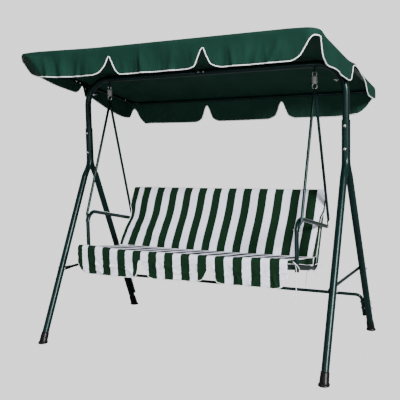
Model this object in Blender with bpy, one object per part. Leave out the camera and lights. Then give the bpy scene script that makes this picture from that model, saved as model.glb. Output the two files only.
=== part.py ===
"""A three-seat garden swing bench with a tilting canopy.

Metres, +Z up, +X to the right of someone who faces the bench, -Y towards that person.
The floor is z = 0 and the origin is the middle of the footprint.
"""

import math

import bmesh
import bpy
from mathutils import Vector

# ---------------------------------------------------------------- driving dimensions
GAP = 0.0003                 # clearance kept between touching pieces

# side frames
FOOT_X = 0.840               # foot centres, across
FOOT_Y = 0.4955              # foot centres, front to back
POST_X = 0.818               # upright post centres
LEG_MEET_Z = 1.0767          # height where the straight legs would meet the post axis
LEG_RADIUS = 0.019
LEG_WALL = 0.0012
SHELL_START_Z = 0.945        # the leg tube is round below this height
SHELL_FULL_Z = 1.068         # and a pressed half shell above this one
SHELL_TOP_Z = 1.248
SHELL_OUTER = 0.0226
SHELL_INNER = 0.0196
SHELL_HALF_ANGLE = math.radians(83)
POST_BOLT_HEIGHTS = {"lower": 1.097, "upper": 1.217}

# top frame
RAIL_Z = 1.546
RAIL_RADIUS = 0.019
RAIL_WALL = 0.0014
POST_BOTTOM_Z = 1.070
CORNER_RADIUS = 0.160
RAIL_JOINT_X = -0.044        # the left tube's reduced end slides into the right tube here
RAIL_NECK_RADIUS = 0.0172
RAIL_NECK_LENGTH = 0.075
RAIL_SCREWS = {"left": -0.028, "right": 0.005}

# rear stabiliser and side braces
STABILISER_Z = 0.236
STABILISER_END_Z = 0.100
STABILISER_BOLT_Z = 0.150
STABILISER_RADIUS = 0.0095
BRACE_Z = 0.410
BRACE_RADIUS = 0.008

# suspension
HANGER_X = 0.652
EYE_RING_Z = 1.508
EYE_RING_RADIUS = 0.010
EYE_WIRE = 0.0035
SPRING_WIRE = 0.00225
SPRING_TOP_Z = 1.5048        # centre of the upper hook wire
SPRING_COIL_TOP_Z = 1.4790
SPRING_COIL_BOTTOM_Z = 1.4470
SPRING_BOTTOM_Z = 1.4165     # centre of the lower hook wire
SPRING_RADIUS = 0.0135
SPRING_TURNS = 5
HANGER_HOLE_Z = 1.4140
HANGER_HOLE_RADIUS = 0.0060

# seat
SIDE_FRAME_X = 0.6177
SIDE_FRAME_RADIUS = 0.0125
SEAT_TILT = 0.194            # fall of the seat per metre towards the back
SEAT_REF = (-0.400, 0.530)   # y, z of a point on the side rail's axis
SEAT_FRONT_Y = -0.398
SEAT_BACK_Y = 0.100
BACK_TOP = (0.275, 0.835)    # y, z of the axis of the back's top rail
ARM_X = 0.6416
ARM_RADIUS = 0.011
ARM_POST_Y = -0.285
ARM_CORNER_Z = 0.7628
ARM_END = (0.245, 0.652)     # y, z
ROD_RADIUS = 0.0077
ROD_TAB_HALF = 0.0015
ROD_FRONT_BOLT = (-0.280, 0.700)
ROD_REAR_BOLT = (0.228, 0.6555)
CUSHION_HALF_WIDTH = 0.627
BACK_CUSHION_HALF_WIDTH = 0.644
FLAP_Y = -0.4065
FLAP_TOP_Z = 0.5715
FLAP_BOTTOM_Z = 0.414
FLAP_NOTCH_X = 0.2135

# canopy, measured along its own slope
CANOPY_PIVOT_Z = 1.457
CANOPY_HALF_WIDTH = 0.854
CANOPY_FRONT = (-0.592, 1.641)   # y, z of the roof's front edge, mid-way across
CANOPY_REAR = (0.592, 1.445)     # y, z of the roof's rear edge
CANOPY_RISE = 0.034              # crown of the roof, mid-way across
CANOPY_SHOULDER_X = 0.700        # outside this the roof slopes down to its side edges
CANOPY_SIDE = ((-0.592, 1.634), (-0.532, 1.630), (-0.430, 1.606), (0.430, 1.462), (0.592, 1.436))
CANOPY_CLOTH = 0.0018
CANOPY_CORNER = 0.060
CANOPY_TUBE = 0.0095
CANOPY_TUBE_X = 0.8420
CANOPY_TUBE_DROP = 0.0125        # tube axis below the roof surface
CANOPY_JOINT_Y = 0.430
BRACKET_BOLT_Y = -0.078
BRACKET_THICKNESS = 0.003
VALANCE_ENDS = 0.145
VALANCE_SIDES = 0.128
NOTCH_DEPTH = 0.098
NOTCH_HALF = 0.085

SIDES = {"left": -1, "right": 1}
ENDS = {"front": -1, "rear": 1}


# ---------------------------------------------------------------- scene and materials
def clear_scene():
    for obj in list(bpy.data.objects):
        bpy.data.objects.remove(obj, do_unlink=True)


def material(name, colour, roughness, metallic=0.0):
    mat = bpy.data.materials.new(name)
    mat.use_nodes = True
    shader = mat.node_tree.nodes["Principled BSDF"]
    shader.inputs["Base Color"].default_value = (*colour, 1.0)
    shader.inputs["Roughness"].default_value = roughness
    shader.inputs["Metallic"].default_value = metallic
    return mat


clear_scene()
GREEN_PAINT = material("green_paint", (0.006, 0.040, 0.034), 0.25, 0.3)
ZINC = material("zinc", (0.62, 0.62, 0.60), 0.35, 1.0)
BLACK_PLASTIC = material("black_plastic", (0.012, 0.012, 0.013), 0.55)
CANOPY_GREEN = material("canopy_green", (0.025, 0.150, 0.100), 0.80)
SLING_GREEN = material("sling_green", (0.012, 0.060, 0.040), 0.85)
STRIPED = material("striped_cotton", (0.40, 0.45, 0.45), 0.90)
CORD_WHITE = material("white_cord", (0.75, 0.75, 0.75), 0.80)


def add_mesh(name, bm, mat):
    mesh = bpy.data.meshes.new(name)
    bmesh.ops.recalc_face_normals(bm, faces=bm.faces[:])
    bm.to_mesh(mesh)
    bm.free()
    mesh.materials.append(mat)
    mesh.shade_smooth()
    mesh.set_sharp_from_angle(angle=math.radians(35))
    obj = bpy.data.objects.new(name, mesh)
    bpy.context.scene.collection.objects.link(obj)
    return obj


# ---------------------------------------------------------------- paths
def rounded_path(corners, radius, steps=7):
    """A polyline through the corners, with each inner corner turned into an arc."""
    corners = [Vector(c) for c in corners]
    path = [corners[0]]
    for before, corner, after in zip(corners, corners[1:], corners[2:]):
        to_before = (before - corner).normalized()
        to_after = (after - corner).normalized()
        half = to_before.angle(to_after) / 2
        centre = corner + (to_before + to_after).normalized() * (radius / math.sin(half))
        start = corner + to_before * (radius / math.tan(half))
        spoke = start - centre
        ahead = -to_before * radius
        sweep = math.pi - 2 * half
        for step in range(steps + 1):
            turn = sweep * step / steps
            path.append(centre + spoke * math.cos(turn) + ahead * math.sin(turn))
    path.append(corners[-1])
    return path


def smooth_route(points, step):
    """Evenly spaced points on a smooth curve through a cord's own route points."""
    points = [Vector(p) for p in points]
    padded = [points[0] * 2 - points[1]] + points + [points[-1] * 2 - points[-2]]
    fine = []
    for p0, p1, p2, p3 in zip(padded, padded[1:], padded[2:], padded[3:]):
        for part in range(20):
            t = part / 20
            fine.append(0.5 * (2 * p1 + (p2 - p0) * t + (2 * p0 - 5 * p1 + 4 * p2 - p3) * t ** 2
                               + (3 * p1 - p0 - 3 * p2 + p3) * t ** 3))
    fine.append(points[-1])
    lengths = [0.0]
    for a, b in zip(fine, fine[1:]):
        lengths.append(lengths[-1] + (b - a).length)
    count = max(2, round(lengths[-1] / step))
    route = []
    index = 0
    for stop in range(count + 1):
        target = lengths[-1] * stop / count
        while index < len(fine) - 2 and lengths[index + 1] < target:
            index += 1
        share = (target - lengths[index]) / (lengths[index + 1] - lengths[index])
        route.append(fine[index].lerp(fine[index + 1], share))
    return route


def mirrored(points, side):
    return [(side * x, y, z) for x, y, z in points]


# ---------------------------------------------------------------- tubes, rods and bolts
def curve_mesh(name, path, radius, sides, caps, scales=None):
    """The mesh of a round section swept along a path."""
    curve = bpy.data.curves.new(name, "CURVE")
    curve.dimensions = "3D"
    curve.bevel_depth = radius
    curve.bevel_resolution = (sides - 4) // 2
    curve.use_fill_caps = caps
    spline = curve.splines.new("POLY")
    spline.points.add(len(path) - 1)
    for index, point in enumerate(path):
        spline.points[index].co = (*point, 1.0)
        spline.points[index].radius = scales[index] if scales else 1.0
    carrier = bpy.data.objects.new(name, curve)
    bpy.context.scene.collection.objects.link(carrier)
    bpy.context.view_layer.update()
    evaluated = carrier.evaluated_get(bpy.context.evaluated_depsgraph_get())
    mesh = bpy.data.meshes.new_from_object(evaluated)
    bpy.data.objects.remove(carrier, do_unlink=True)
    bpy.data.curves.remove(curve)
    return mesh


def swept(name, path, radius, mat, sides=16, wall=None, scales=None):
    """A solid rod, or a tube with open ends where a wall thickness is given."""
    mesh = curve_mesh(name, path, radius, sides, wall is None, scales)
    bm = bmesh.new()
    bm.from_mesh(mesh)
    bmesh.ops.remove_doubles(bm, verts=bm.verts[:], dist=1e-6)
    bpy.data.meshes.remove(mesh)
    obj = add_mesh(name, bm, mat)
    if wall:
        hollow = obj.modifiers.new("hollow", "SOLIDIFY")
        hollow.thickness = wall
        hollow.offset = -1.0
        hollow.use_even_offset = True
    return obj


def ring(bm, centre, across, up, half_across, half_up, count):
    verts = []
    for index in range(count):
        angle = 2 * math.pi * index / count
        offset = across * (half_across * math.cos(angle)) + up * (half_up * math.sin(angle))
        verts.append(bm.verts.new(centre + offset))
    return verts


def skin(bm, rings):
    """Join rings of equal size into a closed body with flat ends."""
    for low, high in zip(rings, rings[1:]):
        count = len(low)
        for index in range(count):
            following = (index + 1) % count
            bm.faces.new((low[index], low[following], high[following], high[index]))
    bm.faces.new(rings[0])
    bm.faces.new(rings[-1])


def turned(name, base, axis, profile, mat, sides=12):
    """A body turned about an axis; profile is (distance, radius)."""
    axis = Vector(axis).normalized()
    across = axis.orthogonal().normalized()
    up = axis.cross(across)
    bm = bmesh.new()
    rings = []
    for distance, radius in profile:
        rings.append(ring(bm, Vector(base) + axis * distance, across, up, radius, radius, sides))
    skin(bm, rings)
    return add_mesh(name, bm, mat)


def through_bolt(name, head_face, axis, grip, shank, mat=ZINC):
    """A hexagon bolt whose head sits on head_face, with a nut past the grip length."""
    head = shank * 2.1
    tall = shank * 1.2
    nut_start = grip + 2 * GAP
    profile = ((-tall, head * 0.75), (-tall * 0.7, head), (-GAP, head), (-GAP, shank),
               (nut_start, shank), (nut_start, head), (nut_start + tall, head),
               (nut_start + tall, shank), (nut_start + tall * 1.6, shank * 0.9))
    return turned(name, head_face, axis, profile, mat, sides=6)


def short_screw(name, head_face, axis, depth, shank, mat=ZINC):
    head = shank * 2.1
    tall = shank * 1.1
    profile = ((-tall, head * 0.5), (-tall * 0.6, head * 0.9), (-GAP, head), (-GAP, shank),
               (depth * 0.8, shank), (depth, shank * 0.35))
    return turned(name, head_face, axis, profile, mat, sides=8)


def drill(obj, start, end, radius):
    """Cut a round hole from start to end, which may run past the walls that it pierces."""
    start = Vector(start)
    end = Vector(end)
    axis = (end - start).normalized()
    across = axis.orthogonal().normalized()
    up = axis.cross(across)
    bm = bmesh.new()
    skin(bm, [ring(bm, point, across, up, radius, radius, 8) for point in (start, end)])
    cutter = add_mesh(obj.name + "_hole_" + str(len(obj.modifiers)), bm, GREEN_PAINT)
    cutter.hide_render = True
    cutter.display_type = "WIRE"
    cut = obj.modifiers.new("hole", "BOOLEAN")
    cut.operation = "DIFFERENCE"
    cut.object = cutter


def flattened_rod(name, start, end, mat, radius, tab, flat, blend, end_shift=0.0):
    """A straight rod in a YZ plane with both ends pressed flat; tab is (half width, half thickness).

    The rod runs half a tab width past its two bolt centres, start and end. end_shift moves the
    round stretch along X at its far end, where the tab is pressed flush with one side.
    """
    start = Vector(start)
    end = Vector(end)
    along = (end - start).normalized()
    side_way = Vector((1, 0, 0))
    in_plane = along.cross(side_way).normalized()
    half_width, half_thick = tab
    stations = ((-half_width, 0.62 * half_width, half_thick, 0.0),
                (-0.5 * half_width, half_width, half_thick, 0.0),
                (flat, half_width, half_thick, 0.0),
                (flat + 0.5 * blend, 0.5 * (half_width + radius), 0.5 * (half_thick + radius), 0.5),
                (flat + blend, radius, radius, 1.0))
    bm = bmesh.new()
    rings = []
    for distance, wide, thick, _ in stations:
        rings.append(ring(bm, start + along * distance, in_plane, side_way, wide, thick, 10))
    for distance, wide, thick, share in reversed(stations):
        centre = end - along * distance + side_way * (end_shift * share)
        rings.append(ring(bm, centre, in_plane, side_way, wide, thick, 10))
    skin(bm, rings)
    return add_mesh(name, bm, mat)


# ---------------------------------------------------------------- legs and feet
def leg_axis(side, end, z):
    """The point at height z on the axis of a leg's straight part."""
    share = z / LEG_MEET_Z
    x = side * (FOOT_X + (POST_X - FOOT_X) * share)
    return Vector((x, end * FOOT_Y * (1 - share), z))


def leg_direction(side, end):
    return (leg_axis(side, end, LEG_MEET_Z) - leg_axis(side, end, 0)).normalized()


def leg_ring(bm, side, end, z, count, blend):
    """A leg section: round where blend is 0, a half shell that hugs the post where it is 1."""
    centre = leg_axis(side, end, z)
    along = leg_direction(side, end)
    sideways = Vector((1, 0, 0))
    outward = sideways.cross(along) * -end
    outward.normalize()
    if outward.y * end < 0:
        outward.negate()
    post = Vector((side * POST_X, 0, z))
    verts = []
    for index in range(count):
        angle = 2 * math.pi * index / count - math.pi / 2
        tube_point = centre + (outward * math.cos(angle) + sideways * math.sin(angle)) * LEG_RADIUS
        if angle <= math.pi / 2 + 1e-6:
            radius = SHELL_OUTER
            turn = angle * SHELL_HALF_ANGLE / (math.pi / 2)
        else:
            radius = SHELL_INNER
            turn = (math.pi - angle) * SHELL_HALF_ANGLE / (math.pi / 2)
        shell_point = post + Vector((math.sin(turn) * radius, end * math.cos(turn) * radius, 0))
        verts.append(bm.verts.new(tube_point.lerp(shell_point, blend)))
    return verts


def make_leg(side_name, end_name):
    side = SIDES[side_name]
    end = ENDS[end_name]
    count = 16
    along = leg_direction(side, end)
    sideways = Vector((1, 0, 0))
    in_plane = along.cross(sideways).normalized()
    bm = bmesh.new()
    tube_bottom = leg_axis(side, end, 0.0225)
    tube_top = leg_axis(side, end, SHELL_START_Z - 0.02)
    outer_foot = ring(bm, tube_bottom, in_plane, sideways, LEG_RADIUS, LEG_RADIUS, count)
    bore = LEG_RADIUS - LEG_WALL
    bore_foot = ring(bm, tube_bottom, in_plane, sideways, bore, bore, count)
    bore_top = ring(bm, tube_top, in_plane, sideways, bore, bore, count)
    rings = []
    steps = 5
    for step in range(steps + 1):
        share = step / steps
        z = SHELL_START_Z + (SHELL_FULL_Z - SHELL_START_Z) * share
        blend = share * share * (3 - 2 * share)
        rings.append(leg_ring(bm, side, end, z, count, blend))
    rings.append(leg_ring(bm, side, end, SHELL_TOP_Z, count, 1.0))
    first = rings[0]
    shift = min(range(count), key=lambda k: (outer_foot[k].co - tube_bottom
                                             - (first[0].co - leg_axis(side, end, SHELL_START_Z))).length)
    step_way = 1
    after = outer_foot[(shift + 1) % count].co - tube_bottom
    wanted = first[1].co - leg_axis(side, end, SHELL_START_Z)
    if (after - wanted).length > LEG_RADIUS * 0.5:
        step_way = -1
    order = [(shift + step_way * k) % count for k in range(count)]
    outer_foot = [outer_foot[k] for k in order]
    bore_foot = [bore_foot[k] for k in order]
    bore_top = [bore_top[k] for k in order]
    skin(bm, [bore_top, bore_foot, outer_foot] + rings)
    return add_mesh("leg_" + end_name + "_" + side_name, bm, GREEN_PAINT)


def make_foot_cap(side_name, end_name):
    """A plastic cup on the tube's end, with a flared flat base."""
    side = SIDES[side_name]
    end = ENDS[end_name]
    along = leg_direction(side, end)
    sideways = Vector((1, 0, 0))
    in_plane = along.cross(sideways).normalized()
    level = Vector((0, 1, 0)) if in_plane.y > 0 else Vector((0, -1, 0))
    bm = bmesh.new()
    count = 14
    rings = []
    for z, radius in ((0.0, 0.0240), (0.003, 0.0280), (0.008, 0.0280), (0.012, 0.0245)):
        centre = leg_axis(side, end, z)
        rings.append(ring(bm, centre, level, sideways, radius, radius, count))
    for z, radius in ((0.026, 0.0222), (0.058, 0.0214)):
        rings.append(ring(bm, leg_axis(side, end, z), in_plane, sideways, radius, radius, count))
    bore = (LEG_RADIUS + GAP) / math.cos(math.pi / count)
    for z in (0.058, 0.0218):
        rings.append(ring(bm, leg_axis(side, end, z), in_plane, sideways, bore, bore, count))
    skin(bm, rings)
    return add_mesh("foot_cap_" + end_name + "_" + side_name, bm, BLACK_PLASTIC)


# ---------------------------------------------------------------- top frame
def make_top_frame_tube(side_name):
    """A post and half of the rail, bent from one tube; the left one ends in a reduced neck."""
    side = SIDES[side_name]
    joint = RAIL_JOINT_X + side * GAP
    path = rounded_path([(side * POST_X, 0, POST_BOTTOM_Z), (side * POST_X, 0, RAIL_Z), (joint, 0, RAIL_Z)],
                        CORNER_RADIUS, steps=6)
    scales = [1.0] * len(path)
    if side_name == "left":
        path[-1].x -= 0.001
        for x in (joint, joint + RAIL_NECK_LENGTH):
            path.append(Vector((x, 0, RAIL_Z)))
            scales.append(RAIL_NECK_RADIUS / RAIL_RADIUS)
    tube = swept("top_frame_tube_" + side_name, path, RAIL_RADIUS, GREEN_PAINT, 14, RAIL_WALL, scales)
    for height in POST_BOLT_HEIGHTS.values():
        drill(tube, (side * POST_X, -0.03, height), (side * POST_X, 0.03, height), 0.0034)
    for screw_x in RAIL_SCREWS.values():
        drill(tube, (screw_x, -0.03, RAIL_Z), (screw_x, -0.011, RAIL_Z), 0.0029)
    eye_x = side * HANGER_X
    drill(tube, (eye_x, 0, RAIL_Z - 0.03), (eye_x, 0, RAIL_Z + 0.03), EYE_WIRE + 0.0005)
    pivot = (side * 0.76, 0, CANOPY_PIVOT_Z)
    drill(tube, pivot, (side * 0.84, 0, CANOPY_PIVOT_Z), 0.0039)
    return tube


def make_post_bolts(side_name):
    side = SIDES[side_name]
    for level, height in POST_BOLT_HEIGHTS.items():
        face = (side * POST_X, -SHELL_OUTER - 0.0001, height)
        name = "post_bolt_" + level + "_" + side_name
        through_bolt(name, face, (0, 1, 0), 2 * SHELL_OUTER, 0.003)


def drill_post_holes(leg, side_name, end_name):
    side = SIDES[side_name]
    end = ENDS[end_name]
    for height in POST_BOLT_HEIGHTS.values():
        near = (side * POST_X, end * 0.010, height)
        drill(leg, near, (side * POST_X, end * 0.035, height), 0.0034)


# ---------------------------------------------------------------- stabiliser and braces
def make_stabiliser():
    """A bar across the back whose turned-down ends lie along the inner faces of the rear legs."""
    inset = LEG_RADIUS + STABILISER_RADIUS + GAP * 2
    corners = []
    for side, heights in ((-1, (STABILISER_END_Z, STABILISER_Z)), (1, (STABILISER_Z, STABILISER_END_Z))):
        for z in heights:
            point = leg_axis(side, 1, z)
            corners.append((point.x - side * inset, point.y, z))
    path = rounded_path(corners, 0.034, steps=4)
    bar = swept("rear_stabiliser", path, STABILISER_RADIUS, GREEN_PAINT, 10, 0.0011)
    for side in SIDES.values():
        head, direction = stabiliser_bolt_line(side)
        drill(bar, head - direction * 0.01, head + direction * 0.026, 0.0031)
    return bar


def stabiliser_bolt_line(side):
    """Head face and direction of the bolt through a turned-down end and into its leg."""
    point = leg_axis(side, 1, STABILISER_BOLT_Z)
    reach = LEG_RADIUS + 2 * STABILISER_RADIUS + GAP * 3
    head = point - Vector((side * reach, 0, 0))
    return head, Vector((side, 0, 0))


def make_brace(side_name):
    side = SIDES[side_name]
    thick = 0.0016
    front = leg_axis(side, -1, BRACE_Z)
    rear = leg_axis(side, 1, BRACE_Z)
    x = front.x - side * (LEG_RADIUS + thick + GAP)
    return flattened_rod("side_brace_" + side_name, (x, front.y, BRACE_Z), (x, rear.y, BRACE_Z),
                         GREEN_PAINT, BRACE_RADIUS, (0.011, thick), 0.040, 0.026)


# ---------------------------------------------------------------- suspension
def make_spring_eye(side_name):
    """A bent eye bolt through the rail; its collar above the rail is the nut."""
    side = SIDES[side_name]
    x = side * HANGER_X
    shank_top = RAIL_Z + RAIL_RADIUS
    nut = 2.1
    path = []
    scales = []
    for z, scale in ((shank_top + 0.0046, nut * 0.8), (shank_top + 0.0040, nut),
                     (shank_top + 0.0006, nut), (shank_top + 0.0004, 1.0),
                     (EYE_RING_Z + EYE_RING_RADIUS + 0.006, 1.0)):
        path.append(Vector((x, 0, z)))
        scales.append(scale)
    steps = 14
    first = math.radians(75)
    last = math.radians(75 - 305)
    for step in range(steps + 1):
        angle = first + (last - first) * step / steps
        path.append(Vector((x, EYE_RING_RADIUS * math.cos(angle),
                            EYE_RING_Z + EYE_RING_RADIUS * math.sin(angle))))
        scales.append(1.0)
    return swept("spring_eye_" + side_name, path, EYE_WIRE, GREEN_PAINT, 8, scales=scales)


def spring_path(x):
    """A close-wound extension spring with a hook loop in the XZ plane at each end."""
    upper = (SPRING_TOP_Z - SPRING_COIL_TOP_Z - 0.0015) / 2
    upper_z = SPRING_TOP_Z - upper
    lower = (SPRING_COIL_BOTTOM_Z - 0.0015 - SPRING_BOTTOM_Z) / 2
    lower_z = SPRING_BOTTOM_Z + lower
    path = []
    for degrees in range(-40, 241, 35):
        angle = math.radians(degrees)
        path.append(Vector((x + upper * math.cos(angle), 0, upper_z + upper * math.sin(angle))))
    per_turn = 8
    count = SPRING_TURNS * per_turn
    for step in range(count + 1):
        share = step / count
        angle = math.radians(150) + 2 * math.pi * SPRING_TURNS * share
        z = SPRING_COIL_TOP_Z + (SPRING_COIL_BOTTOM_Z - SPRING_COIL_TOP_Z) * share
        path.append(Vector((x + SPRING_RADIUS * math.cos(angle), SPRING_RADIUS * math.sin(angle), z)))
    for degrees in range(120, 401, 35):
        angle = math.radians(degrees)
        path.append(Vector((x + lower * math.cos(angle), 0, lower_z + lower * math.sin(angle))))
    return path


def make_spring(side_name):
    side = SIDES[side_name]
    path = spring_path(side * HANGER_X)
    return swept("coil_spring_" + side_name, path, SPRING_WIRE, ZINC, 4)


# ---------------------------------------------------------------- seat
def rail_z(y):
    """Height of the seat's side rail axis at a given y."""
    return SEAT_REF[1] - SEAT_TILT * (y - SEAT_REF[0])


def back_point(along, forward):
    """y, z of a point measured up the back from its foot and forward from the uprights' axes."""
    foot = Vector((SEAT_BACK_Y, rail_z(SEAT_BACK_Y)))
    way = (Vector(BACK_TOP) - foot).normalized()
    normal = Vector((-way.y, way.x))
    point = foot + way * along + normal * forward
    return point.x, point.y


def make_hanger_rod(side_name, end_name):
    """A rod from the spring's lower hook to the arm, pressed flat at both ends."""
    side = SIDES[side_name]
    bolt = ROD_FRONT_BOLT if end_name == "front" else ROD_REAR_BOLT
    top_x = HANGER_X + ENDS[end_name] * (ROD_TAB_HALF + GAP)
    low_x = ARM_X + ARM_RADIUS + ROD_TAB_HALF + GAP
    top = (side * top_x, 0, HANGER_HOLE_Z)
    low = (side * low_x, bolt[0], bolt[1])
    rod = flattened_rod("hanger_rod_" + end_name + "_" + side_name, top, low, GREEN_PAINT, ROD_RADIUS,
                        (0.0100, ROD_TAB_HALF), 0.021, 0.022, side * (ROD_RADIUS - ROD_TAB_HALF))
    drill(rod, (side * (top_x - 0.01), 0, HANGER_HOLE_Z), (side * (top_x + 0.01), 0, HANGER_HOLE_Z),
          HANGER_HOLE_RADIUS)
    drill(rod, (side * (low_x - 0.01), *bolt), (side * (low_x + 0.01), *bolt), 0.0034)
    return rod


def make_armrest(side_name):
    side = SIDES[side_name]
    corners = mirrored(((ARM_X, ARM_POST_Y, 0.486), (ARM_X, ARM_POST_Y, ARM_CORNER_Z),
                        (ARM_X, *ARM_END)), side)
    path = rounded_path(corners, 0.065, steps=5)
    arm = swept("armrest_" + side_name, path, ARM_RADIUS, GREEN_PAINT, 10, 0.0011)
    for bolt in (ROD_FRONT_BOLT, ROD_REAR_BOLT):
        drill(arm, (side * (ARM_X - 0.02), *bolt), (side * (ARM_X + 0.02), *bolt), 0.0034)
    return arm


def make_rod_bolt(side_name, end_name):
    side = SIDES[side_name]
    bolt = ROD_FRONT_BOLT if end_name == "front" else ROD_REAR_BOLT
    face = (side * (ARM_X + ARM_RADIUS + 2 * ROD_TAB_HALF + GAP), *bolt)
    grip = 2 * ARM_RADIUS + 2 * ROD_TAB_HALF + GAP
    return through_bolt("rod_bolt_" + end_name + "_" + side_name, face, (-side, 0, 0), grip, 0.0028)


def make_seat_side_frame(side_name):
    """Seat rail, back upright and top corner, bent from one tube."""
    side = SIDES[side_name]
    corners = mirrored(((SIDE_FRAME_X, SEAT_FRONT_Y, rail_z(SEAT_FRONT_Y)),
                        (SIDE_FRAME_X, SEAT_BACK_Y, rail_z(SEAT_BACK_Y)),
                        (SIDE_FRAME_X, *BACK_TOP), (0.500, *BACK_TOP)), side)
    path = rounded_path(corners, 0.045, steps=4)
    return swept("seat_side_frame_" + side_name, path, SIDE_FRAME_RADIUS, GREEN_PAINT, 10, 0.0012)


def make_cross_rail(name, y):
    """A tube between the inner faces of the two side frames."""
    reach = SIDE_FRAME_X - SIDE_FRAME_RADIUS - 2 * GAP
    path = [(-reach, y, rail_z(y)), (reach, y, rail_z(y))]
    return swept(name, path, 0.0105, GREEN_PAINT, 12, 0.0011)


def make_back_top_rail():
    """The middle of the back's top rail; its thinner ends slide into the side frames."""
    neck = 0.84
    stations = ((-0.545, neck), (-0.4993, neck), (-0.4985, 1.0),
                (0.4985, 1.0), (0.4993, neck), (0.545, neck))
    path = [(x, *BACK_TOP) for x, _ in stations]
    scales = [scale for _, scale in stations]
    return swept("back_top_rail", path, SIDE_FRAME_RADIUS, GREEN_PAINT, 10, 0.0012, scales)


def extruded_profile(name, profile, half_width, mat):
    """A closed YZ outline drawn out across the bench."""
    bm = bmesh.new()
    rings = [[bm.verts.new((x, y, z)) for y, z in profile] for x in (-half_width, half_width)]
    skin(bm, rings)
    return add_mesh(name, bm, mat)


def make_sling():
    """The seat and back cloth, a strip of even thickness hung between the rails."""
    centre = []
    front_rail = -0.385
    lift = 0.0105 / math.cos(math.pi / 8) + 0.0018
    centre.append((front_rail - lift, rail_z(front_rail) - 0.004))
    centre.append((front_rail - lift * 0.72, rail_z(front_rail) + lift * 0.72))
    centre.append((front_rail, rail_z(front_rail) + lift))
    for share in (0.25, 0.5, 0.75):
        y = front_rail + (0.060 - front_rail) * share
        sag = 0.020 * 4 * share * (1 - share)
        centre.append((y, rail_z(y) + lift - sag))
    centre.append((0.060, rail_z(0.060) + lift))
    for along, sag in ((0.050, 0.0), (0.150, 0.010), (0.260, 0.010), (0.360, 0.004), (0.432, 0.0)):
        centre.append(back_point(along, SIDE_FRAME_RADIUS + 0.0016 - sag))
    half = 0.0011
    over = []
    under = []
    for index, (y, z) in enumerate(centre):
        before = Vector(centre[max(index - 1, 0)])
        after = Vector(centre[min(index + 1, len(centre) - 1)])
        way = (after - before).normalized()
        over.append((y - way.y * half, z + way.x * half))
        under.append((y + way.y * half, z - way.x * half))
    return extruded_profile("seat_sling", over + under[::-1], 0.603, SLING_GREEN)


def make_seat_cushion():
    outline = ((-0.386, 0.0155), (-0.396, 0.020), (-0.400, 0.028), (-0.396, 0.036), (-0.384, 0.041),
               (-0.250, 0.049), (-0.050, 0.057), (0.034, 0.053), (0.046, 0.040), (0.050, 0.0155))
    profile = [(y, rail_z(y) + lift) for y, lift in outline]
    return extruded_profile("seat_cushion", profile, CUSHION_HALF_WIDTH, STRIPED)


def make_back_cushion():
    """A pad that thickens towards its foot, and is narrower between the arms than above them."""
    bm = bmesh.new()
    rings = []
    rear = 0.0165
    round_off = 0.012
    slim = CUSHION_HALF_WIDTH
    wide = BACK_CUSHION_HALF_WIDTH
    # distances up the back at the rear and front faces, the front face's lead, half width
    stations = ((0.060, 0.034, 0.134, slim - 0.006), (0.070, 0.044, 0.144, slim),
                (0.130, 0.120, 0.111, slim), (0.205, 0.200, 0.078, slim),
                (0.240, 0.240, 0.066, slim), (0.285, 0.285, 0.062, slim),
                (0.325, 0.325, 0.062, wide), (0.438, 0.438, 0.0655, wide),
                (0.452, 0.452, 0.054, wide - 0.010))
    for rear_along, front_along, front, half in stations:
        verts = []
        for x, forward in ((-half, rear + round_off), (-half + round_off, rear), (half - round_off, rear),
                           (half, rear + round_off), (half, front - round_off), (half - round_off, front),
                           (-half + round_off, front), (-half, front - round_off)):
            share = (forward - rear) / (front - rear)
            y, z = back_point(rear_along + (front_along - rear_along) * share, forward)
            verts.append(bm.verts.new((x, y, z)))
        rings.append(verts)
    skin(bm, rings)
    return add_mesh("back_cushion", bm, STRIPED)


def flap_outline():
    """The scalloped lower edge from left to right, then the straight top edge."""
    points = []
    corner = 0.040
    notch_half = 0.045
    left = -CUSHION_HALF_WIDTH - 0.001
    points.append((left, FLAP_TOP_Z))
    for degrees in (180, 205, 235, 270):
        angle = math.radians(degrees)
        points.append((left + corner + corner * math.cos(angle),
                       FLAP_BOTTOM_Z + corner + corner * math.sin(angle)))
    for notch in (-FLAP_NOTCH_X, FLAP_NOTCH_X):
        for offset, lift in ((-2.2, 0.0), (-1.4, 0.004), (-0.9, 0.020), (-0.35, 0.078), (0, 0.088),
                             (0.35, 0.078), (0.9, 0.020), (1.4, 0.004), (2.2, 0.0)):
            points.append((notch + offset * notch_half, FLAP_BOTTOM_Z + lift))
    for degrees in (270, 305, 335, 360):
        angle = math.radians(degrees)
        points.append((-left - corner + corner * math.cos(angle),
                       FLAP_BOTTOM_Z + corner + corner * math.sin(angle)))
    points.append((-left, FLAP_TOP_Z))
    return points


def make_flap():
    bm = bmesh.new()
    outline = flap_outline()
    rings = [[bm.verts.new((x, y, z)) for x, z in outline] for y in (FLAP_Y, FLAP_Y + 0.003)]
    skin(bm, rings)
    return add_mesh("cushion_front_flap", bm, STRIPED)


# ---------------------------------------------------------------- canopy
def middle_z(y):
    """Height of the roof between its shoulders: a fall to the rear with a shallow crown."""
    share = (y - CANOPY_FRONT[0]) / (CANOPY_REAR[0] - CANOPY_FRONT[0])
    chord = CANOPY_FRONT[1] + (CANOPY_REAR[1] - CANOPY_FRONT[1]) * share
    return chord + CANOPY_RISE * 4 * share * (1 - share)


def side_z(y):
    """Height of the roof's side edge, which follows the side bars."""
    for (near, low), (far, high) in zip(CANOPY_SIDE, CANOPY_SIDE[1:]):
        if y <= far:
            return low + (high - low) * (y - near) / (far - near)
    return CANOPY_SIDE[-1][1]


def roof_z(x, y):
    share = max(0.0, abs(x) - CANOPY_SHOULDER_X) / (CANOPY_HALF_WIDTH - CANOPY_SHOULDER_X)
    return middle_z(y) + (side_z(y) - middle_z(y)) * min(share, 1.0)


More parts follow.
